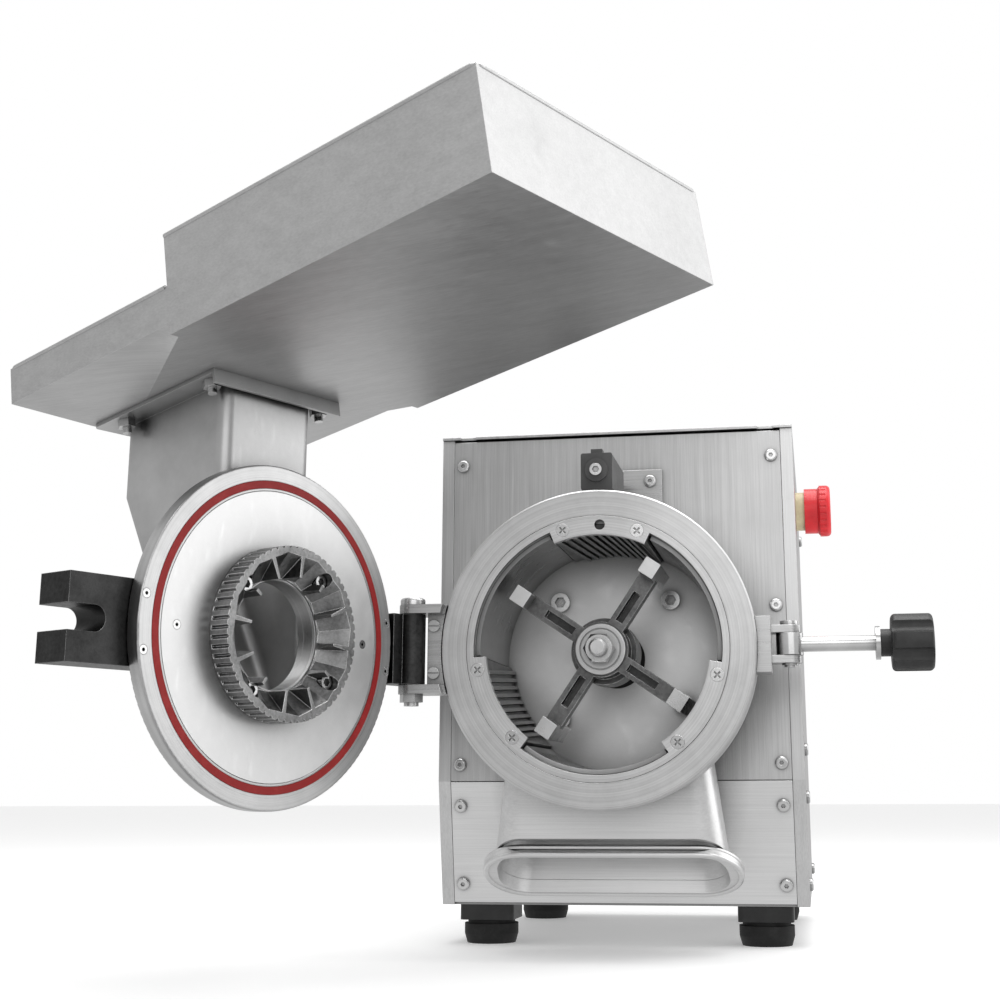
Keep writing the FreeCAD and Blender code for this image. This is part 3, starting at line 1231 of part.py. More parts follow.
def hopper_tray():
    """The sheet tray: a deep trough, then a funnel down to the duct."""
    t = HOPPER_SHEET
    outer = box(-HALF_HOPPER, HALF_HOPPER, -TRAY_LENGTH, 0, 0, TRAY_WALL)
    outer = outer.fuse(funnel_form(0.0, FUNNEL_RIM + FUNNEL_DROP))
    inner = box(-HALF_HOPPER + t, HALF_HOPPER - t, -TRAY_LENGTH - 2, -t, t, TRAY_WALL + 5)
    inner = inner.fuse(funnel_form(t, FUNNEL_RIM + FUNNEL_DROP + 50))
    tray = outer.cut(inner)
    hole = rounded(-DUCT_HALF_WIDTH + 2, DUCT_HALF_WIDTH - 2, -OUTLET_END + 3, -OUTLET_START - 3, -5, t + 5,
                   DUCT_CORNER, Z_AXIS)
    tray = tray.cut(hole)
    for x, y in duct_bolt_places():
        tray = tray.cut(rod_z(3.0, -5, 10, x, y))
    return to_hopper(tray.removeSplitter())


def duct_bolt_places():
    """Places of the flange bolts in the tray's own frame."""
    x = DUCT_HALF_WIDTH + DUCT_FLANGE_RIM / 2
    return [(side * x, -y) for side in (-1, 1) for y in (OUTLET_START + 4, OUTLET_END - 12)]


def duct_outline(x, inset, extra=0.0):
    """The duct seen from the side: straight against the door, sloping at the back."""
    front = DUCT_FRONT_Y - inset
    back = DUCT_FRONT_Y - DUCT_DEPTH + inset
    top = SPINDLE_HEIGHT + HOPPER_FAR_HEIGHT + extra
    return [
        (x, front, top),
        (x, back, top),
        (x, back, SPINDLE_HEIGHT + 92.0),
        (x, front - DUCT_TOE + inset, SPINDLE_HEIGHT - DUCT_FOOT + inset),
        (x, front, SPINDLE_HEIGHT - DUCT_FOOT + inset),
    ]


def duct_form(inset, extra=0.0):
    half = DUCT_HALF_WIDTH - inset
    form = prism(duct_outline(-half, inset, extra), V(2 * half, 0, 0))
    upright = [e for e in form.Edges if len(e.Vertexes) == 2
               and abs(e.Vertexes[0].X - e.Vertexes[1].X) < 1e-6
               and e.CenterOfMass.z < SPINDLE_HEIGHT + HOPPER_FAR_HEIGHT - 1
               and abs(e.tangentAt(e.FirstParameter).z) > 0.3]
    return form.makeFillet(DUCT_CORNER - inset, upright)


def feed_duct():
    """The duct that leads from the hopper's floor to the hole in the door."""
    t = HOPPER_SHEET
    duct = duct_form(0.0).cut(duct_form(t, 5.0))
    flange = rounded(-DUCT_HALF_WIDTH - DUCT_FLANGE_RIM, DUCT_HALF_WIDTH + DUCT_FLANGE_RIM, -OUTLET_END - 10,
                     -OUTLET_START + 8, -DUCT_FLANGE, 0, 3.0, Z_AXIS)
    lip = box(-DUCT_HALF_WIDTH - DUCT_FLANGE_RIM, DUCT_HALF_WIDTH + DUCT_FLANGE_RIM, -OUTLET_START + 6,
              -OUTLET_START + 8, -DUCT_FLANGE - 7, 0)
    for x, y in duct_bolt_places():
        flange = flange.cut(rod_z(3.0, -10, 10, x, y))
    flange = to_hopper(flange.fuse(lip))
    above = to_hopper(box(-300, 300, -600, 300, 0, 300))
    duct = duct.cut(above).fuse(flange)
    duct = duct.cut(duct_form(t, 5.0)).removeSplitter()
    pad = rod_y(FEED_HOLE_R + 8, DUCT_FRONT_Y - t, DOOR_REAR)
    duct = duct.fuse(pad.cut(duct_form(t, 5.0)))
    return duct.cut(rod_y(FEED_HOLE_R, DUCT_FRONT_Y - t - 1, DOOR_REAR + 1)).removeSplitter()


def duct_bolts():
    """Hexagon bolts and nuts that hold the hopper on the duct's flange."""
    bolts = []
    for x, y in duct_bolt_places():
        head = hexagon(10.0, 4.0, V(x, y, HOPPER_SHEET), Z_AXIS)
        shank = rod_z(3.0 - FIT, -DUCT_FLANGE - 9, HOPPER_SHEET + 1, x, y)
        nut = hexagon(10.0, 5.0, V(x, y, -DUCT_FLANGE), -Z_AXIS)
        bolts.append(to_hopper(union([head, shank, nut])))
    return group(bolts)


# ---------------------------------------------------------------- swing-bolt latch
BOLT_PIN_Y = RING_FACE + BOLT_PIN_BACK
FORK_INNER = BOLT_EYE_R * 0.8 + 0.3
FORK_OUTER = FORK_INNER + 5.0


def latch_bracket():
    """The fork on the side of the drum that holds the swing bolt's pin."""
    parts = [box(RING_R - 6, RING_R + 9, RING_FACE + 3, RING_FACE + 30, SPINDLE_HEIGHT - FORK_OUTER - 6,
                 SPINDLE_HEIGHT + FORK_OUTER + 6)]
    for z0 in (SPINDLE_HEIGHT - FORK_OUTER, SPINDLE_HEIGHT + FORK_INNER):
        parts.append(box(RING_R, BOLT_PIN_X, BOLT_PIN_Y - 8, BOLT_PIN_Y + 8, z0, z0 + 5.0))
        parts.append(rod_z(8.0, z0, z0 + 5.0, BOLT_PIN_X, BOLT_PIN_Y))
    bracket = union(parts).cut(rod_y(RING_R + SEAT, RING_FACE - 5, RING_FACE + RING_DEPTH))
    bracket = bracket.cut(rod_z(BOLT_EYE_R + 1.2, SPINDLE_HEIGHT - FORK_INNER, SPINDLE_HEIGHT + FORK_INNER,
                                BOLT_PIN_X, BOLT_PIN_Y))
    for side in (-1, 1):
        z = SPINDLE_HEIGHT + side * (FORK_OUTER + 1.5)
        bracket = bracket.cut(rod_x(2.2, RING_R - 10, RING_R + 20, RING_FACE + 24, z))
    return bracket.cut(rod_z(BOLT_PIN_R, SPINDLE_HEIGHT - 40, SPINDLE_HEIGHT + 40, BOLT_PIN_X, BOLT_PIN_Y))


def latch_pin():
    reach = FORK_OUTER + 2.5
    pin = rod_z(BOLT_PIN_R - 0.02, SPINDLE_HEIGHT - reach, SPINDLE_HEIGHT + reach, BOLT_PIN_X, BOLT_PIN_Y)
    head = rod_z(BOLT_PIN_R + 2.0, SPINDLE_HEIGHT + FORK_OUTER, SPINDLE_HEIGHT + FORK_OUTER + 3, BOLT_PIN_X, BOLT_PIN_Y)
    clip = rod_z(BOLT_PIN_R + 1.5, SPINDLE_HEIGHT - FORK_OUTER - 1.2, SPINDLE_HEIGHT - FORK_OUTER, BOLT_PIN_X, BOLT_PIN_Y)
    return union([pin, head, clip])


def swing_bolt():
    """The eye bolt, pointing away from the drum at rest."""
    half = BOLT_EYE_R * 0.8
    eye = rod_z(BOLT_EYE_R, SPINDLE_HEIGHT - half, SPINDLE_HEIGHT + half, BOLT_PIN_X, BOLT_PIN_Y)
    rod = rod_x(BOLT_R, BOLT_PIN_X + 2, BOLT_PIN_X + BOLT_LENGTH, BOLT_PIN_Y, SPINDLE_HEIGHT)
    bolt = eye.fuse(rod)
    return bolt.cut(rod_z(BOLT_PIN_R + PIN_CLEARANCE - 0.02, SPINDLE_HEIGHT - 20, SPINDLE_HEIGHT + 20,
                          BOLT_PIN_X, BOLT_PIN_Y)).removeSplitter()


KNOB_WASHER = 3.0
KNOB_X0 = BOLT_PIN_X + KNOB_START


def knob_washer():
    outer = rod_x(11.0, KNOB_X0, KNOB_X0 + KNOB_WASHER, BOLT_PIN_Y, SPINDLE_HEIGHT)
    return outer.cut(rod_x(BOLT_R + RUNNING, KNOB_X0 - 1, KNOB_X0 + KNOB_WASHER + 1, BOLT_PIN_Y, SPINDLE_HEIGHT))


def clamp_knob():
    """The scalloped plastic knob on the bolt's thread, with its steel nut face."""
    x0 = KNOB_X0 + KNOB_WASHER + 0.1
    neck = rod_x(9.0, x0, x0 + 8, BOLT_PIN_Y, SPINDLE_HEIGHT)
    head = rod_x(KNOB_R, x0 + 7, x0 + KNOB_LENGTH, BOLT_PIN_Y, SPINDLE_HEIGHT)
    edges = [e for e in head.Edges if len(e.Vertexes) == 1]
    head = head.makeFillet(3.0, edges)
    scallops = []
    for i in range(6):
        a = math.radians(60 * i + 30)
        scallops.append(rod_x(6.0, x0, x0 + KNOB_LENGTH + 1, BOLT_PIN_Y + (KNOB_R + 3.0) * math.cos(a),
                              SPINDLE_HEIGHT + (KNOB_R + 3.0) * math.sin(a)))
    knob = neck.fuse(head.cut(Part.makeCompound(scallops))).removeSplitter()
    return knob.cut(rod_x(BOLT_R + RUNNING, x0 - 1, x0 + KNOB_LENGTH - 4, BOLT_PIN_Y, SPINDLE_HEIGHT))


# ---------------------------------------------------------------- emergency stop
STOP_Y = FRONT + STOP_BACK
STOP_FACE = HALF_WIDTH
STOP_TRAVEL = 4.0
STOP_COLLAR = 9.0
STOP_COLLAR_R = 15.0
STOP_SKIRT_R = 17.6
STOP_PLATE = 3.4


def stop_collar():
    """The threaded body with its yellow collar, gripping the side cover."""
    collar = rod_x(STOP_COLLAR_R, STOP_FACE, STOP_FACE + STOP_COLLAR, STOP_Y, STOP_HEIGHT)
    body = rod_x(11.0, STOP_FACE - 26, STOP_FACE + 1, STOP_Y, STOP_HEIGHT)
    nut = rod_x(14.5, STOP_FACE - SHEET - 5, STOP_FACE - SHEET, STOP_Y, STOP_HEIGHT)
    return union([collar, body, nut]).cut(rod_x(7.3, STOP_FACE - 20, STOP_FACE + 12, STOP_Y, STOP_HEIGHT))


def stop_contacts():
    """The contact block clipped behind the button."""
    block = box(STOP_FACE - 58, STOP_FACE - 26, STOP_Y - 15, STOP_Y + 15, STOP_HEIGHT - 20, STOP_HEIGHT + 20)
    grooves = [box(STOP_FACE - 59, STOP_FACE - 40, STOP_Y + y - 1, STOP_Y + y + 1, STOP_HEIGHT - 21, STOP_HEIGHT + 21)
               for y in (-7, 0, 7)]
    return block.cut(Part.makeCompound(grooves))


def stop_plunger():
    """The part that only slides: a stem, and a skirt that reaches over the collar."""
    start = STOP_FACE + STOP_COLLAR + STOP_TRAVEL + 0.4
    stem = rod_x(7.0, STOP_FACE - 12, start + 1, STOP_Y, STOP_HEIGHT)
    skirt = rod_x(STOP_SKIRT_R, start - 6.6, start + STOP_PLATE, STOP_Y, STOP_HEIGHT)
    skirt = skirt.cut(rod_x(STOP_COLLAR_R + 0.5, start - 8, start, STOP_Y, STOP_HEIGHT))
    return skirt.fuse(stem).removeSplitter()


def stop_head():
    """The mushroom head, ribbed round its rim, that also twists to release."""
    x0 = STOP_FACE + STOP_COLLAR + STOP_TRAVEL + 0.4 + STOP_PLATE + 0.1
    head = rod_x(STOP_R, x0 + 1.6, x0 + 10.0, STOP_Y, STOP_HEIGHT)
    edges = [e for e in head.Edges if len(e.Vertexes) == 1 and e.CenterOfMass.x > x0 + 5]
    head = head.makeFillet(3.2, edges)
    back = Part.makeCone(STOP_SKIRT_R, STOP_R - 0.6, 1.7, V(x0, STOP_Y, STOP_HEIGHT), X_AXIS)
    ribs = []
    count = 24
    for i in range(count):
        a = math.radians(360 * i / count)
        ribs.append(rod_x(1.2, x0 + 1, x0 + 6.4, STOP_Y + (STOP_R + 0.6) * math.cos(a),
                          STOP_HEIGHT + (STOP_R + 0.6) * math.sin(a)))
    return head.fuse(back).cut(Part.makeCompound(ribs)).removeSplitter()


# ---------------------------------------------------------------- assembly
def swing_open(shape):
    """Turns a closed-door piece to the open rest place."""
    turned = shape.copy()
    turned.rotate(V(HINGE_X, RING_FACE, 0), Z_AXIS, -DOOR_OPEN)
    return turned



def cover_screws():
    return group([side_cover_screws(), front_panel_screws(), rear_panel_screws(), lid_screws()])


def loose_solids(shape):
    """A flat compound of a shape's solids, so that a node never nests groups."""
    return shape if len(shape.Solids) == 1 and shape.ShapeType == "Solid" else Part.makeCompound(shape.Solids)


FIXED = {
    "base_plate": base_plate,
    "bulkhead": bulkhead,
    "left_side_cover": lambda: side_cover(-1),
    "right_side_cover": lambda: side_cover(1),
    "front_panel": front_panel,
    "lower_front_panel": lower_front_panel,
    "rear_panel": rear_panel,
    "top_lid": top_lid,
    "cover_screws": cover_screws,
    "cable_gland": cable_gland,
    "foot_blocks": foot_blocks,
    "rubber_feet": rubber_feet,
    "drum_housing": drum_housing,
    "drum_screws": lambda: group([drum_flange_bolts(), back_plate_screws()]),
    "back_plate": back_plate,
    "shaft_seal": shaft_seal,
    "toothed_liners": lambda: group([toothed_liner(centre) for centre in LINER_CENTRES]),
    "smooth_liners": lambda: group([smooth_liner(0), smooth_liner(2)]),
    "sieve": sieve,
    "retaining_ring": retaining_ring,
    "retaining_ring_screws": retaining_ring_screws,
    "spout_chute": spout_chute,
    "spout_flange": spout_flange,
    "interlock_switch": interlock_switch,
    "interlock_bracket": interlock_bracket,
    "bracket_screws": lambda: group([interlock_screw(), interlock_bracket_screw(), hinge_bracket_screws()]),
    "hinge_bracket": hinge_bracket,
    "hinge_pin": hinge_pin,
    "latch_bracket": latch_bracket,
    "latch_pin": latch_pin,
    "motor_housing": motor_housing,
    "motor_front_shield": lambda: end_shield(MOTOR_FRONT, MOTOR_BODY_FRONT, FRONT_BEARING_Y),
    "motor_rear_shield": lambda: end_shield(MOTOR_BODY_REAR, MOTOR_REAR, REAR_BEARING_Y),
    "motor_bearings": lambda: group([bearing(FRONT_BEARING_Y), bearing(REAR_BEARING_Y)]),
    "fan_cowl": fan_cowl,
    "motor_cradle": motor_cradle,
    "terminal_box": terminal_box,
    "stop_collar": stop_collar,
    "stop_contacts": stop_contacts,
}

ROTOR = {
    "rotor_shaft": shaft,
    "rotor_hub": rotor_hub,
    "hammers": hammers,
    "rotor_washer": rotor_washer,
    "rotor_nut": rotor_nut,
    "motor_fan": motor_fan,
}

DOOR = {
    "door_disc": door_disc,
    "door_inner_plate": inner_plate,
    "door_seal": door_seal,
    "breaker_crown": crown,
    "door_screws": lambda: group([crown_screws(), door_screws()]),
    "hinge_leaf": hinge_leaf,
    "latch_lug": latch_lug,
    "feed_duct": feed_duct,
    "duct_bolts": duct_bolts,
    "hopper_tray": hopper_tray,
}

LATCH_AND_STOP = {
    "swing_bolt": swing_bolt,
    "knob_washer": knob_washer,
    "clamp_knob": clamp_knob,
    "stop_plunger": stop_plunger,
    "stop_head": stop_head,
}


def main():
    os.makedirs("parts", exist_ok=True)
    for nodes in (FIXED, ROTOR, DOOR, LATCH_AND_STOP):
        for name, make in nodes.items():
            shape = loose_solids(make())
            if nodes is DOOR:
                shape = swing_open(shape)
            shape.exportStep("parts/" + name + ".step")


main()
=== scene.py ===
import json
import math

import bpy
from mathutils import Matrix, Vector


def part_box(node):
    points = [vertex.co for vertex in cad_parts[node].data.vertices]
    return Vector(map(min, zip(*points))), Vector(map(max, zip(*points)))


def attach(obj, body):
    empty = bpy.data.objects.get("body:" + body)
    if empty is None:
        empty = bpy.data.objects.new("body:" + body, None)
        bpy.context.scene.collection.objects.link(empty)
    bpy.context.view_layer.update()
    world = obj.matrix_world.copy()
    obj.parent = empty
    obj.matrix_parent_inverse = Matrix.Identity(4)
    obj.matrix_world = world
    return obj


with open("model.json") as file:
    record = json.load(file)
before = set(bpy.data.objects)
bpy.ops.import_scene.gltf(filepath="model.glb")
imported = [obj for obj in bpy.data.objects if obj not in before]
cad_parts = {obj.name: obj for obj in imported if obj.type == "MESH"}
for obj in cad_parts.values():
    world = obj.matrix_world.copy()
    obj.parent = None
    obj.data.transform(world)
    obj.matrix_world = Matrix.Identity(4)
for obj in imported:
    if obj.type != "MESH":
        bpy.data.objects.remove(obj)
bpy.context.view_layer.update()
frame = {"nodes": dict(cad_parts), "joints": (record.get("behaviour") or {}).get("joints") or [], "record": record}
NODES = frame["nodes"]
JOINTS = {j["name"]: j for j in frame["joints"]}
SLOT_OF = {s["node"]: s["material_slot"] for s in frame["record"]["subparts"]}


# ---------------------------------------------------------------- places read from the frame
def middle(node):
    low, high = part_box(node)
    return (low + high) / 2


SPINDLE = Vector((0.0, 0.0, middle("rotor_nut").z))
DRUM_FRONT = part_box("retaining_ring")[0].y
DRUM_AXIS = Vector((0.0, 1.0, 0.0))
HINGE = Vector(JOINTS["door_swing"]["pos_m"])
DOOR_OPEN = math.radians(JOINTS["door_swing"]["range_deg"][1])
# from the closed door's place, where its parts line up with the drum, to where it stands at rest
SWUNG = (Matrix.Translation(HINGE) @ Matrix.Rotation(-DOOR_OPEN, 4, "Z")
         @ Matrix.Translation(-HINGE))
DOOR_CENTRE = SWUNG @ Vector((0.0, DRUM_FRONT, SPINDLE.z))
DOOR_AXIS = (SWUNG.to_3x3() @ DRUM_AXIS).normalized()


def placed(points, matrix):
    return [matrix @ p for p in points]


def closed_box(node):
    """A door node's lowest and highest corners with the door closed."""
    points = placed([v.co for v in NODES[node].data.vertices], SWUNG.inverted())
    return (Vector([min(p[i] for p in points) for i in range(3)]),
            Vector([max(p[i] for p in points) for i in range(3)]))


# ---------------------------------------------------------------- material graphs
# lengths in metres; a pattern's scale is in features per metre
EDGE = 0.0006                 # worn and rounded edges, unless a material says otherwise
SHADER_SAMPLES = 4            # of each bevel and occlusion node
# painted shade: recesses that the occlusion node finds within this reach are darkened, up to this share, towards
# this grey
PAINTED_SHADE_REACH = 0.03
PAINTED_SHADE_DEPTH = 0.75
PAINTED_SHADE_GREY = 0.02
EDGE_LIGHTER = 1.25           # polished edges against the face's pale tone


def grey(value):
    return (value, value, value, 1.0)


def tinted(colour, factor, lift=0.0):
    """The colour made paler or deeper, and opaque."""
    return tuple(min(1.0, c * factor + lift) for c in colour[:3]) + (1.0,)


class Graph:
    """A material's node tree, with a short call for each kind of node used here."""

    def __init__(self, name, **shader):
        self.material = bpy.data.materials.new(name)
        self.material.use_nodes = True
        self.tree = self.material.node_tree
        self.shader = self.tree.nodes["Principled BSDF"]
        for socket, value in shader.items():
            self.shader.inputs[socket.replace("_", " ")].default_value = value
        self.place = self.add("ShaderNodeTexCoord").outputs["Object"]

    def add(self, kind, settings=None, **inputs):
        node = self.tree.nodes.new(kind)
        for key, value in (settings or {}).items():
            setattr(node, key, value)
        for key, value in inputs.items():
            self.feed(node.inputs[key.replace("_", " ")], value)
        return node

    def feed(self, socket, value):
        if isinstance(value, bpy.types.NodeSocket):
            self.tree.links.new(value, socket)
        else:
            socket.default_value = value

    def maths(self, operation, *values, clamp=False):
        node = self.add("ShaderNodeMath", {"operation": operation, "use_clamp": clamp})
        for socket, value in zip(node.inputs, values):
            self.feed(socket, value)
        return node.outputs[0]

    def vectors(self, operation, first, second=None):
        node = self.add("ShaderNodeVectorMath", {"operation": operation})
        self.feed(node.inputs[0], first)
        if second is not None:
            self.feed(node.inputs[1], second)
        return node.outputs

    def blend(self, first, share, second):
        """share of the first value and the rest of the second."""
        return self.maths("ADD", self.maths("MULTIPLY", first, share),
                          self.maths("MULTIPLY", second, 1.0 - share))

    def scaled(self, x, y, z):
        """The object's coordinates stretched; a pattern runs along the smallest factor."""
        return self.add("ShaderNodeMapping", Vector=self.place, Scale=(x, y, z)).outputs[0]

    def noise(self, place, scale, detail=3.0, roughness=0.55, distortion=0.0):
        node = self.add("ShaderNodeTexNoise", Vector=place, Scale=scale, Detail=detail,
                        Roughness=roughness, Distortion=distortion)
        return node.outputs["Fac"]

    def span(self, value, low, high, to_low=0.0, to_high=1.0):
        """value from low..high brought to to_low..to_high, and kept inside it."""
        node = self.add("ShaderNodeMapRange", {"clamp": True}, Value=value)
        for key, number in (("From Min", low), ("From Max", high),
                            ("To Min", to_low), ("To Max", to_high)):
            node.inputs[key].default_value = number
        return node.outputs[0]

    def mixed(self, share, first, second):
        node = self.add("ShaderNodeMix", {"data_type": "RGBA"})
        factor, colour_a, colour_b = (node.inputs[i] for i in (0, 6, 7))
        for socket, value in ((factor, share), (colour_a, first), (colour_b, second)):
            self.feed(socket, value)
        return node.outputs[2]

    def rounded(self, radius):
        return self.add("ShaderNodeBevel", {"samples": SHADER_SAMPLES}, Radius=radius).outputs[0]

    def edges(self, radius, full=0.12):
        """1 on a convex or concave edge and 0 on a flat face, fading over the radius."""
        flat = self.add("ShaderNodeNewGeometry").outputs["Normal"]
        turn = self.vectors("DOT_PRODUCT", self.rounded(radius), flat)["Value"]
        return self.span(self.maths("SUBTRACT", 1.0, turn), 0.01, full)

    def edged(self, base, radius, share, colour):
        """The base with its edges rubbed towards a colour."""
        return self.mixed(self.maths("MULTIPLY", self.edges(radius), share), base, colour)

    def with_painted_shade(self, colour, reach=PAINTED_SHADE_REACH):
        """The colour, darkened towards a dark grey in a recess that the occlusion node finds: painted shade."""
        sky = self.add("ShaderNodeAmbientOcclusion", {"samples": SHADER_SAMPLES},
                       Distance=reach).outputs["AO"]
        share = self.maths("MULTIPLY", self.span(sky, 0.25, 0.95, 1.0, 0.0), PAINTED_SHADE_DEPTH)
        return self.mixed(share, colour, grey(PAINTED_SHADE_GREY))

    def bump(self, height, distance, strength, edge_radius=None):
        node = self.add("ShaderNodeBump", Height=height, Distance=distance, Strength=strength)
        if edge_radius:
            self.feed(node.inputs["Normal"], self.rounded(edge_radius))
        self.feed(self.shader.inputs["Normal"], node.outputs[0])

    def use(self, colour, roughness):
        self.feed(self.shader.inputs["Base Color"], colour)
        self.feed(self.shader.inputs["Roughness"], roughness)
        return self.material


BRUSH_GRAIN = 1500.0          # brush lines across the grain
BRUSH_STRETCH = 90            # how many times longer than wide a brush line is
BRUSH_BAND = 6                # broad brush bands against fine lines
SMUDGE = 0.08                 # how much duller a finger mark is
BRUSH_RELIEF = 0.00006


def brushed(name, along, dark, light, rough, grain=BRUSH_GRAIN):
    """Sheet steel brushed along an axis, with fine lines, slow clouds and finger marks."""
    g = Graph(name, Metallic=1.0)
    stretch = [grain, grain, grain]
    stretch["XYZ".index(along)] = grain / BRUSH_STRETCH
    fine = g.noise(g.scaled(*stretch), 1.0, detail=4.0, roughness=0.6)
    coarse = g.noise(g.scaled(*[s / BRUSH_BAND for s in stretch]), 1.0)
    clouds = g.noise(g.place, 9.0, detail=4.0, roughness=0.6)
    marks = g.span(g.noise(g.place, 26.0, detail=6.0, roughness=0.65, distortion=0.6), 0.56, 0.72)
    lines = g.blend(fine, 0.6, coarse)
    share = g.maths("ADD", g.span(lines, 0.34, 0.66, 0.0, 0.75),
                    g.span(clouds, 0.35, 0.65, 0.0, 0.25))
    base = g.mixed(share, grey(dark), grey(light))
    # recesses darkened with painted shade
    base = g.with_painted_shade(g.edged(base, EDGE, 0.45, tinted(grey(light), EDGE_LIGHTER)))
    roughness = g.maths("ADD", g.span(lines, 0.3, 0.7, rough - 0.05, rough + 0.06),
                        g.maths("MULTIPLY", marks, SMUDGE))
    g.bump(lines, BRUSH_RELIEF, 0.5, EDGE)
    return g.use(base, roughness)


TURNING_PITCH = 0.00035
TURNING_RELIEF = 0.00008


def turned(name, centre, axis, dark, light, rough):
    """Lathe-turned steel: rings round an axis given by a point on it and its direction."""
    g = Graph(name, Metallic=1.0)
    offset = g.vectors("SUBTRACT", g.place, centre)[0]
    along = g.vectors("DOT_PRODUCT", offset, axis)["Value"]
    reach = g.vectors("LENGTH", offset)["Value"]
    square = g.maths("SUBTRACT", g.maths("MULTIPLY", reach, reach),
                     g.maths("MULTIPLY", along, along))
    radius = g.maths("SQRT", g.maths("MAXIMUM", square, 0.0))
    ring_place = g.add("ShaderNodeCombineXYZ", X=g.maths("DIVIDE", radius, TURNING_PITCH),
                       Y=g.maths("DIVIDE", along, TURNING_PITCH), Z=0.0).outputs[0]
    fine = g.noise(ring_place, 1.0, roughness=0.6)
    wide = g.noise(ring_place, 0.12, detail=2.0)
    streak = g.noise(g.place, 60.0, detail=5.0, roughness=0.7)
    clouds = g.noise(g.place, 12.0, detail=4.0)
    rings = g.blend(fine, 0.65, wide)
    blotches = g.maths("ADD", g.span(streak, 0.35, 0.7, 0.0, 0.2),
                       g.span(clouds, 0.35, 0.65, 0.0, 0.2))
    share = g.maths("ADD", g.span(rings, 0.35, 0.65, 0.0, 0.6), blotches)
    base = g.mixed(share, grey(dark), grey(light))
    # recesses darkened with painted shade
    base = g.with_painted_shade(g.edged(base, EDGE, 0.5, tinted(grey(light), EDGE_LIGHTER)))
    g.bump(rings, TURNING_RELIEF, 0.6, EDGE)
    return g.use(base, g.span(rings, 0.3, 0.7, rough - 0.06, rough + 0.08))


SATIN_EDGE = 0.0005
SATIN_RELIEF = 0.00003


def satin(name, dark, light, rough, edge=SATIN_EDGE):
    """Bead-blasted or tumbled steel: fine grain, slow clouds, and a few rubbed places."""
    g = Graph(name, Metallic=1.0)
    grain = g.noise(g.place, 1900.0, detail=2.0)
    clouds = g.noise(g.place, 16.0, detail=6.0, roughness=0.62)
    rubs = g.span(g.noise(g.scaled(60.0, 240.0, 60.0), 1.0, detail=4.0, distortion=0.4),
                  0.55, 0.7)
    base = g.mixed(g.span(clouds, 0.34, 0.66), grey(dark), grey(light))
    # recesses darkened with painted shade
    base = g.with_painted_shade(g.edged(base, edge, 0.5, tinted(grey(light), 1.2)))
    roughness = g.maths("ADD", g.span(clouds, 0.3, 0.7, rough - 0.05, rough + 0.06),
                        g.maths("MULTIPLY", rubs, -0.06))
    g.bump(grain, SATIN_RELIEF, 0.5, edge)
    return g.use(base, roughness)


CAST_EDGE = 0.0007
CAST_RELIEF = 0.00025
# how far painted shade reaches into a casting's recesses
CAST_PAINTED_SHADE_REACH = 0.02


def hardened(name, dark, bright, rough, wear):
    """Dark hardened or cast steel whose edges and high places are worn bright."""
    g = Graph(name, Metallic=1.0)
    skin = g.noise(g.place, 420.0, detail=5.0, roughness=0.65)
    patches = g.noise(g.place, 55.0, detail=5.0, roughness=0.6)
    worn = g.maths("MULTIPLY", g.edges(CAST_EDGE, full=0.10),
                   g.span(patches, 0.3, 0.55, 0.35, 1.0))
    worn = g.maths("MULTIPLY", worn, wear, clamp=True)
    base = g.mixed(g.span(g.maths("ADD", skin, patches), 0.75, 1.25),
                   grey(dark * 0.7), grey(dark * 1.5))
    # worn bright metal over a skin whose recesses are darkened with painted shade
    base = g.mixed(worn, g.with_painted_shade(base, CAST_PAINTED_SHADE_REACH), grey(bright))
    roughness = g.maths("SUBTRACT", g.span(skin, 0.3, 0.7, rough - 0.08, rough + 0.1),
                        g.maths("MULTIPLY", worn, 0.18))
    g.bump(g.maths("ADD", skin, g.maths("MULTIPLY", patches, 0.6)), CAST_RELIEF, 0.6, CAST_EDGE)
    return g.use(base, roughness)


MOULD_GRAIN = 900.0
MOULD_RELIEF = 0.00008
MOULD_EDGE = 0.0005
MOULD_ROUNDING = 0.0004
SCUFFS = 0.12                 # how much duller a scuff is, and half as strong as a worn edge
LACQUER_ROUGHNESS = 0.12


def moulded(name, colour, rough, relief=MOULD_RELIEF, scuffs=SCUFFS, coat=0.0):
    """Moulded plastic with a fine spark-eroded grain, scuffs and slightly paler edges."""
    g = Graph(name, Metallic=0.0, Coat_Weight=coat, Coat_Roughness=LACQUER_ROUGHNESS)
    skin = g.noise(g.place, MOULD_GRAIN)
    clouds = g.noise(g.place, 40.0, detail=5.0, roughness=0.6)
    rubbed = g.span(g.noise(g.scaled(90.0, 300.0, 90.0), 1.0, detail=5.0, distortion=0.8),
                    0.58, 0.68)
    base = g.mixed(g.span(clouds, 0.35, 0.65), tinted(colour, 0.86),
                   tinted(colour, 1.12, 0.012))
    base = g.edged(base, MOULD_EDGE, scuffs * 2, tinted(colour, 1.5, 0.06))
    roughness = g.maths("ADD", g.span(skin, 0.3, 0.7, rough - 0.05, rough + 0.06),
                        g.maths("MULTIPLY", rubbed, scuffs))
    g.bump(skin, relief, 0.5, MOULD_ROUNDING)
    return g.use(base, roughness)


RUBBER_RELIEF = 0.00006
RUBBER_ROUNDING = 0.0005


def rubber(name, colour, rough):
    """Rubber or silicone with a dull skin and dust."""
    g = Graph(name, Metallic=0.0, Specular_IOR_Level=0.35)
    skin = g.noise(g.place, 1300.0)
    dust = g.span(g.noise(g.place, 85.0, detail=6.0, roughness=0.7), 0.5, 0.75)
    base = g.mixed(g.maths("MULTIPLY", dust, 0.6), tinted(colour, 0.8),
                   tinted(colour, 1.1, 0.02))
    g.bump(skin, RUBBER_RELIEF, 0.6, RUBBER_ROUNDING)
    return g.use(base, g.span(skin, 0.3, 0.7, rough - 0.06, rough + 0.06))


PAINT_RELIEF = 0.00012
PAINT_ROUNDING = 0.0008
BARE_METAL = 0.42


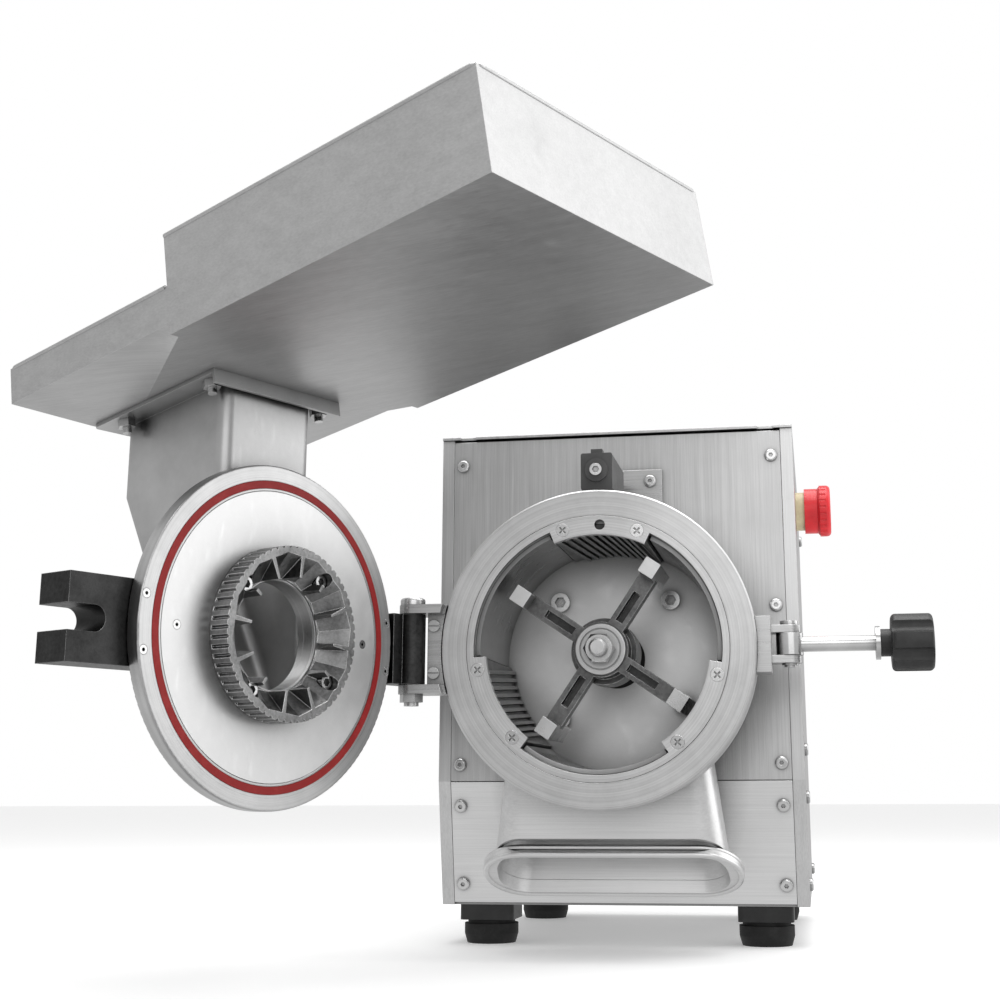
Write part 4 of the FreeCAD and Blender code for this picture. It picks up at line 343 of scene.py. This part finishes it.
def painted(name, colour, rough):
    """Sprayed paint on a casting: orange peel, clouding, and metal through at the edges."""
    g = Graph(name, Metallic=0.15, Coat_Weight=0.25, Coat_Roughness=0.3)
    peel = g.noise(g.place, 480.0, detail=2.0)
    clouds = g.noise(g.place, 22.0, detail=5.0)
    worn = g.maths("MULTIPLY", g.edges(EDGE),
                   g.span(g.noise(g.place, 70.0, detail=5.0), 0.5, 0.62))
    coat = g.mixed(g.span(clouds, 0.35, 0.65), tinted(colour, 0.85), tinted(colour, 1.1))
    g.bump(peel, PAINT_RELIEF, 0.5, PAINT_ROUNDING)
    return g.use(g.mixed(worn, coat, grey(BARE_METAL)),
                 g.span(peel, 0.3, 0.7, rough - 0.05, rough + 0.07))


# ---------------------------------------------------------------- the object's materials
WIDE_GRAIN = 900.0            # coarser brushing of the hopper and the spout
BLACK = grey(0.010)
CHARCOAL = grey(0.05)
SILICONE_RED = (0.30, 0.008, 0.008, 1.0)
SIGNAL_RED = (0.68, 0.006, 0.014, 1.0)
COLLAR_YELLOW = (0.66, 0.57, 0.36, 1.0)
MOTOR_BLUE_GREY = (0.16, 0.19, 0.23, 1.0)

# each material's maker and what it is told: sheet and turned steel take their darkest and
# lightest tone, cast steel its skin and its worn edges, and plastic and rubber a colour
FINISHES = {
    "cabinet_sheet": (brushed, dict(along="Z", dark=0.46, light=0.72, rough=0.36)),
    # painted highlight: paler copies of the cabinet's brushed sheet for the side covers and the lower front panel,
    # standing in for the light they catch
    "cover_sheet": (brushed, dict(along="Z", dark=0.56, light=0.76, rough=0.33)),
    "lower_sheet": (brushed, dict(along="X", dark=0.74, light=0.90, rough=0.38)),
    "hopper_sheet": (brushed, dict(along="X", dark=0.50, light=0.66, rough=0.38,
                                   grain=WIDE_GRAIN)),
    "spout_sheet": (brushed, dict(along="X", dark=0.72, light=0.90, rough=0.34,
                                  grain=WIDE_GRAIN)),
    "bracket_steel": (brushed, dict(along="X", dark=0.46, light=0.66, rough=0.28)),
    "turned_drum": (turned, dict(centre=SPINDLE, axis=DRUM_AXIS, dark=0.46, light=0.80,
                                 rough=0.34)),
    "turned_door": (turned, dict(centre=DOOR_CENTRE, axis=DOOR_AXIS, dark=0.40, light=0.72,
                                 rough=0.32)),
    "zinc_plate": (satin, dict(dark=0.42, light=0.56, rough=0.38)),
    "bright_plate": (satin, dict(dark=0.76, light=0.90, rough=0.42)),
    "welded_sheet": (satin, dict(dark=0.48, light=0.64, rough=0.36)),
    "weld_metal": (satin, dict(dark=0.36, light=0.62, rough=0.30)),
    "liner_sheet": (satin, dict(dark=0.26, light=0.40, rough=0.30)),
    "hammer_steel": (satin, dict(dark=0.55, light=0.76, rough=0.30)),
    "screw_steel": (satin, dict(dark=0.60, light=0.82, rough=0.20, edge=0.0003)),
    "hard_steel": (hardened, dict(dark=0.15, bright=0.80, rough=0.36, wear=1.5)),
    "crown_steel": (hardened, dict(dark=0.24, bright=0.85, rough=0.34, wear=1.6)),
    "blackened_steel": (hardened, dict(dark=0.045, bright=0.35, rough=0.38, wear=0.8)),
    "black_plastic": (moulded, dict(colour=BLACK, rough=0.42)),
    "switch_plastic": (moulded, dict(colour=CHARCOAL, rough=0.45)),
    "stop_red": (moulded, dict(colour=SIGNAL_RED, rough=0.36, relief=0.00003, scuffs=0.05,
                               coat=0.10)),
    "stop_yellow": (moulded, dict(colour=COLLAR_YELLOW, rough=0.42)),
    "foot_rubber": (rubber, dict(colour=BLACK, rough=0.62)),
    "seal_red": (rubber, dict(colour=SILICONE_RED, rough=0.46)),
    "motor_paint": (painted, dict(colour=MOTOR_BLUE_GREY, rough=0.42)),
}
MATERIALS = {name: maker(name, **look) for name, (maker, look) in FINISHES.items()}

# nodes whose finish differs from the rest of their slot; the side covers and the lower front panel take paler
# copies of the cabinet's brushed sheet, a painted highlight
OWN_FINISH = {
    "left_side_cover": "cover_sheet",
    "right_side_cover": "cover_sheet",
    "lower_front_panel": "lower_sheet",
    "drum_housing": "turned_drum",
    "retaining_ring": "turned_drum",
    "rotor_washer": "turned_drum",
    "spout_flange": "spout_sheet",
    "spout_chute": "spout_sheet",
    "door_disc": "turned_door",
    "hopper_tray": "hopper_sheet",
    "smooth_liners": "liner_sheet",
    "breaker_crown": "crown_steel",
}
NODE_CREASE = math.radians(32.0)
BEAD_CREASE = math.radians(50.0)


def dress(thing, material, crease):
    """Gives a mesh its material, and shades it smooth up to the crease's angle."""
    mesh = thing.data
    mesh.materials.clear()
    mesh.materials.append(material)
    mesh.polygons.foreach_set("use_smooth", [True] * len(mesh.polygons))
    mesh.set_sharp_from_angle(angle=crease)


for name, thing in NODES.items():
    dress(thing, MATERIALS[OWN_FINISH.get(name, SLOT_OF[name])], NODE_CREASE)


# ---------------------------------------------------------------- added pieces
def add_piece(name, mesh, body, material):
    thing = bpy.data.objects.new(name, mesh)
    bpy.context.scene.collection.objects.link(thing)
    dress(thing, MATERIALS[material], BEAD_CREASE)
    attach(thing, body)


def arc(centre, radius, start, end, steps):
    """Points on an arc in a level plane, from start to end in degrees."""
    turn = [math.radians(start + (end - start) * i / steps) for i in range(steps + 1)]
    return [Vector((centre[0] + radius * math.cos(a), centre[1] + radius * math.sin(a), 0.0))
            for a in turn]


def evenly(path, step, closed):
    """The path's points again, about a step apart."""
    stops = path + path[:1] if closed else path
    points = []
    for a, b in zip(stops, stops[1:]):
        count = max(1, round((b - a).length / step))
        points += [a.lerp(b, i / count) for i in range(count)]
    return points if closed else points + [stops[-1]]


BEAD_SIDES = 10
WELD_PITCH = 0.0022           # from one scale of a weld to the next
OFF_AXIS = Vector((0.13, 0.21, 0.97))   # nearly upright, and parallel to no path here


def bead_mesh(name, points, radius, closed, ripple=0.0):
    """A round bead along a path; ripple makes it swell like the scales of a weld."""
    total = len(points)
    rings, run = [], 0.0
    for i, point in enumerate(points):
        before = points[i - 1] if closed or i else point
        after = points[(i + 1) % total] if closed or i < total - 1 else point
        along = (after - before).normalized()
        side = along.cross(OFF_AXIS).normalized()
        up = side.cross(along)
        run += (point - before).length
        size = radius * (1 + ripple * abs(math.sin(math.pi * run / WELD_PITCH)))
        rings.append([point + (side * math.cos(a) + up * math.sin(a)) * size
                      for a in (2 * math.pi * k / BEAD_SIDES for k in range(BEAD_SIDES))])
    faces = []
    for i in range(total if closed else total - 1):
        j = (i + 1) % total
        for k in range(BEAD_SIDES):
            n = (k + 1) % BEAD_SIDES
            faces.append((i * BEAD_SIDES + k, i * BEAD_SIDES + n,
                          j * BEAD_SIDES + n, j * BEAD_SIDES + k))
    if not closed:
        faces.append(tuple(range(BEAD_SIDES)))
        faces.append(tuple((total - 1) * BEAD_SIDES + k for k in reversed(range(BEAD_SIDES))))
    mesh = bpy.data.meshes.new(name)
    mesh.from_pydata([v for ring in rings for v in ring], [], faces)
    mesh.update()
    return mesh


# the tray's own frame: its length along Y and its floor level
HOPPER_SLOPE = math.radians(10.0)
TRAY = SWUNG @ Matrix.Rotation(HOPPER_SLOPE, 4, "X")
HEM_R = 0.0016
HEM_BEND = 0.004
HEM_GAP = 0.002               # between the funnel's hem and the foot of the tray's walls
HEM_STEP = 0.02
TRAY_RISE = 0.010             # the tray's walls stand this much above the funnel's rim, or more


def hopper_hems():
    """The safe edges rolled over along the rims of the tray and the funnel."""
    points = placed([v.co for v in NODES["hopper_tray"].data.vertices], TRAY.inverted())
    half = max(p.x for p in points) - HEM_R / 2
    far = max(p.y for p in points) - HEM_R / 2
    near = min(p.y for p in points) + HEM_R / 2
    tray_top = max(p.z for p in points)
    step = min(p.y for p in points if p.z > tray_top - TRAY_RISE)
    funnel_top = max(p.z for p in points if p.y < step - TRAY_RISE)
    inner = half - HEM_BEND
    for name, side, start, end, top in (("tray_hem", 1, step, far, tray_top),
                                        ("funnel_hem", -1, step - HEM_GAP, near, funnel_top)):
        corner = end - side * HEM_BEND
        bends = (arc((inner, corner), HEM_BEND, 0, side * 90, 6)
                 + arc((-inner, corner), HEM_BEND, side * 90, side * 180, 6))
        path = ([Vector((half, start, top))] + [p + Vector((0, 0, top)) for p in bends]
                + [Vector((-half, start, top))])
        path = placed(evenly(path, HEM_STEP, False), TRAY)
        add_piece(name, bead_mesh(name, path, HEM_R, False),
                  "door", "hopper_sheet")


WELD_R = 0.0021
WELD_RIPPLE = 0.28
WELD_STEP = 0.0006
WELD_INSET = 0.004            # the weld stops short of the door's rim
DUCT_SHARE = 38.0 / 54.0      # the duct's half width against the crown's radius


def duct_welds():
    """The weld that holds the duct on the back of the door, down both sides and across."""
    door_low, door_high = closed_box("door_disc")
    crown_low, crown_high = closed_box("breaker_crown")
    half = (crown_high.x - crown_low.x) / 2 * DUCT_SHARE
    plane = door_low.y
    foot = closed_box("feed_duct")[0].z
    door_radius = (door_high.x - door_low.x) / 2
    top = ((door_low.z + door_high.z) / 2 + math.sqrt(door_radius ** 2 - half ** 2)
           - WELD_INSET)
    corners = [Vector((x, plane, z))
               for x, z in ((-half, top), (-half, foot), (half, foot), (half, top))]
    path = placed(evenly(corners, WELD_STEP, False), SWUNG)
    add_piece("duct_weld", bead_mesh("duct_weld", path, WELD_R, False, WELD_RIPPLE),
              "door", "weld_metal")


SPOUT_TILT = math.radians(30.0)
SPOUT_BEAD_SHARE = 0.46       # a bead's radius against half the flange's thickness
SPOUT_BEAD_SUNK = 0.55        # how much of that radius lies inside the flange
SPOUT_BEAD_STEP = 0.004


def spout_beads():
    """Two rolled beads round the rim of the spout."""
    low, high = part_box("spout_flange")
    half = (high.x - low.x) / 2
    mouth = (Matrix.Translation(middle("spout_flange"))
             @ Matrix.Rotation(-SPOUT_TILT, 4, "X"))
    points = placed([v.co for v in NODES["spout_flange"].data.vertices], mouth.inverted())
    depth = max(p.y for p in points)
    thick = max(p.z for p in points)
    bead = thick * SPOUT_BEAD_SHARE
    reach = depth - bead * SPOUT_BEAD_SUNK
    run = half - depth
    for name, level in (("spout_lower_bead", -1), ("spout_upper_bead", 1)):
        path = arc((run, 0), reach, -90, 90, 24) + arc((-run, 0), reach, 90, 270, 24)
        path = [p + Vector((0, 0, level * (thick - bead))) for p in path]
        path = placed(evenly(path, SPOUT_BEAD_STEP, True), mouth)
        add_piece(name, bead_mesh(name, path, bead, True),
                  "cabinet", "spout_sheet")


hopper_hems()
duct_welds()
spout_beads()


# ---------------------------------------------------------------- floor, room, lights and camera
FLOOR_REACH = 14.0
FLOOR_GLOW = 0.24             # keeps the paper white as far as the horizon
PAPER_TONES = (0.90, 0.93)
PAPER_ROUGHNESS = (0.55, 0.65)


def make_floor():
    mesh = bpy.data.meshes.new("studio_floor")
    corners = [(x * FLOOR_REACH, y * FLOOR_REACH, 0.0)
               for x, y in ((-1, -1), (1, -1), (1, 1), (-1, 1))]
    mesh.from_pydata(corners, [], [(0, 1, 2, 3)])
    floor = bpy.data.objects.new("studio_floor", mesh)
    bpy.context.scene.collection.objects.link(floor)
    g = Graph("studio_paper", Metallic=0.0, Specular_IOR_Level=0.2,
              Emission_Color=grey(1.0), Emission_Strength=FLOOR_GLOW)
    fibre = g.noise(g.place, 180.0, detail=4.0)
    g.bump(fibre, 0.0001, 0.2)
    paper = g.use(g.mixed(fibre, *[grey(tone) for tone in PAPER_TONES]),
                  g.span(fibre, 0.3, 0.7, *PAPER_ROUGHNESS))
    floor.data.materials.append(paper)
    floor.visible_glossy = False


# brightness of the room by height: 0 is straight down, 0.5 the horizon, 1 overhead
ROOM_TONES = ((0.0, 0.55), (0.30, 0.80), (0.50, 0.56), (0.64, 0.60), (1.0, 0.92))
ROOM_STRENGTH = 0.92


def make_world():
    """An even studio: pale overhead, greyer low down, and white behind the object."""
    world = bpy.data.worlds.new("studio")
    world.use_nodes = True
    bpy.context.scene.world = world
    nodes, links = world.node_tree.nodes, world.node_tree.links
    room = nodes["Background"]
    room.inputs["Strength"].default_value = ROOM_STRENGTH
    direction = nodes.new("ShaderNodeTexCoord")
    parts = nodes.new("ShaderNodeSeparateXYZ")
    links.new(direction.outputs["Generated"], parts.inputs[0])
    height = nodes.new("ShaderNodeMapRange")
    height.inputs["From Min"].default_value = -1.0
    links.new(parts.outputs["Z"], height.inputs["Value"])
    ramp = nodes.new("ShaderNodeValToRGB")
    links.new(height.outputs[0], ramp.inputs[0])
    elements = ramp.color_ramp.elements
    while len(elements) < len(ROOM_TONES):
        elements.new(0.5)
    for element, (position, tone) in zip(elements, ROOM_TONES):
        element.position = position
        element.color = grey(tone)
    links.new(ramp.outputs[0], room.inputs["Color"])
    white = nodes.new("ShaderNodeBackground")
    white.inputs["Color"].default_value = grey(1.0)
    seen = nodes.new("ShaderNodeLightPath")
    mix = nodes.new("ShaderNodeMixShader")
    links.new(seen.outputs["Is Camera Ray"], mix.inputs[0])
    links.new(room.outputs[0], mix.inputs[1])
    links.new(white.outputs[0], mix.inputs[2])
    links.new(mix.outputs[0], nodes["World Output"].inputs["Surface"])
    world.cycles.sampling_method = "NONE"


# each softbox: its place, the point it faces, its width and height, and its watts
SOFTBOXES = {
    "right_box": ((1.35, 0.10, 0.85), (-0.1, -0.3, 0.35), (1.3, 1.7), 7.6),
    "front_box": ((0.55, -2.00, 0.85), (0.0, -0.2, 0.25), (1.6, 1.0), 5.0),
    "top_box": ((0.1, -0.30, 2.0), (0.0, -0.2, 0.0), (1.8, 1.8), 30.0),
}


def make_lights():
    for name, (place, target, size, watts) in SOFTBOXES.items():
        light = bpy.data.lights.new(name, "AREA")
        light.shape = "RECTANGLE"
        light.size, light.size_y = size
        light.energy = watts
        lamp = bpy.data.objects.new(name, light)
        bpy.context.scene.collection.objects.link(lamp)
        lamp.location = place
        facing = Vector(target) - Vector(place)
        lamp.rotation_euler = facing.to_track_quat("-Z", "Y").to_euler()


LENS_MM = 55.4
SENSOR_MM = 36.0
LENS_SHIFT = (-0.06, -0.07)
CAMERA_PLACE = (0.144, -1.297, 0.107)
CAMERA_UP = math.radians(13.3)       # how far it looks up from level
CAMERA_PAN = math.radians(9.3)
CAMERA_ROLL = math.radians(-0.2)


def make_camera():
    data = bpy.data.cameras.new("photo_camera")
    data.sensor_width = SENSOR_MM
    data.lens = LENS_MM
    data.shift_x, data.shift_y = LENS_SHIFT
    data.clip_start, data.clip_end = 0.02, 30.0
    camera = bpy.data.objects.new("photo_camera", data)
    bpy.context.scene.collection.objects.link(camera)
    camera.location = CAMERA_PLACE
    camera.rotation_euler = (Matrix.Rotation(CAMERA_PAN, 3, "Z")
                             @ Matrix.Rotation(math.pi / 2 + CAMERA_UP, 3, "X")
                             @ Matrix.Rotation(CAMERA_ROLL, 3, "Z")).to_euler()
    bpy.context.scene.camera = camera


make_floor()
make_world()
make_lights()
make_camera()
bpy.context.scene.view_settings.view_transform = "Standard"
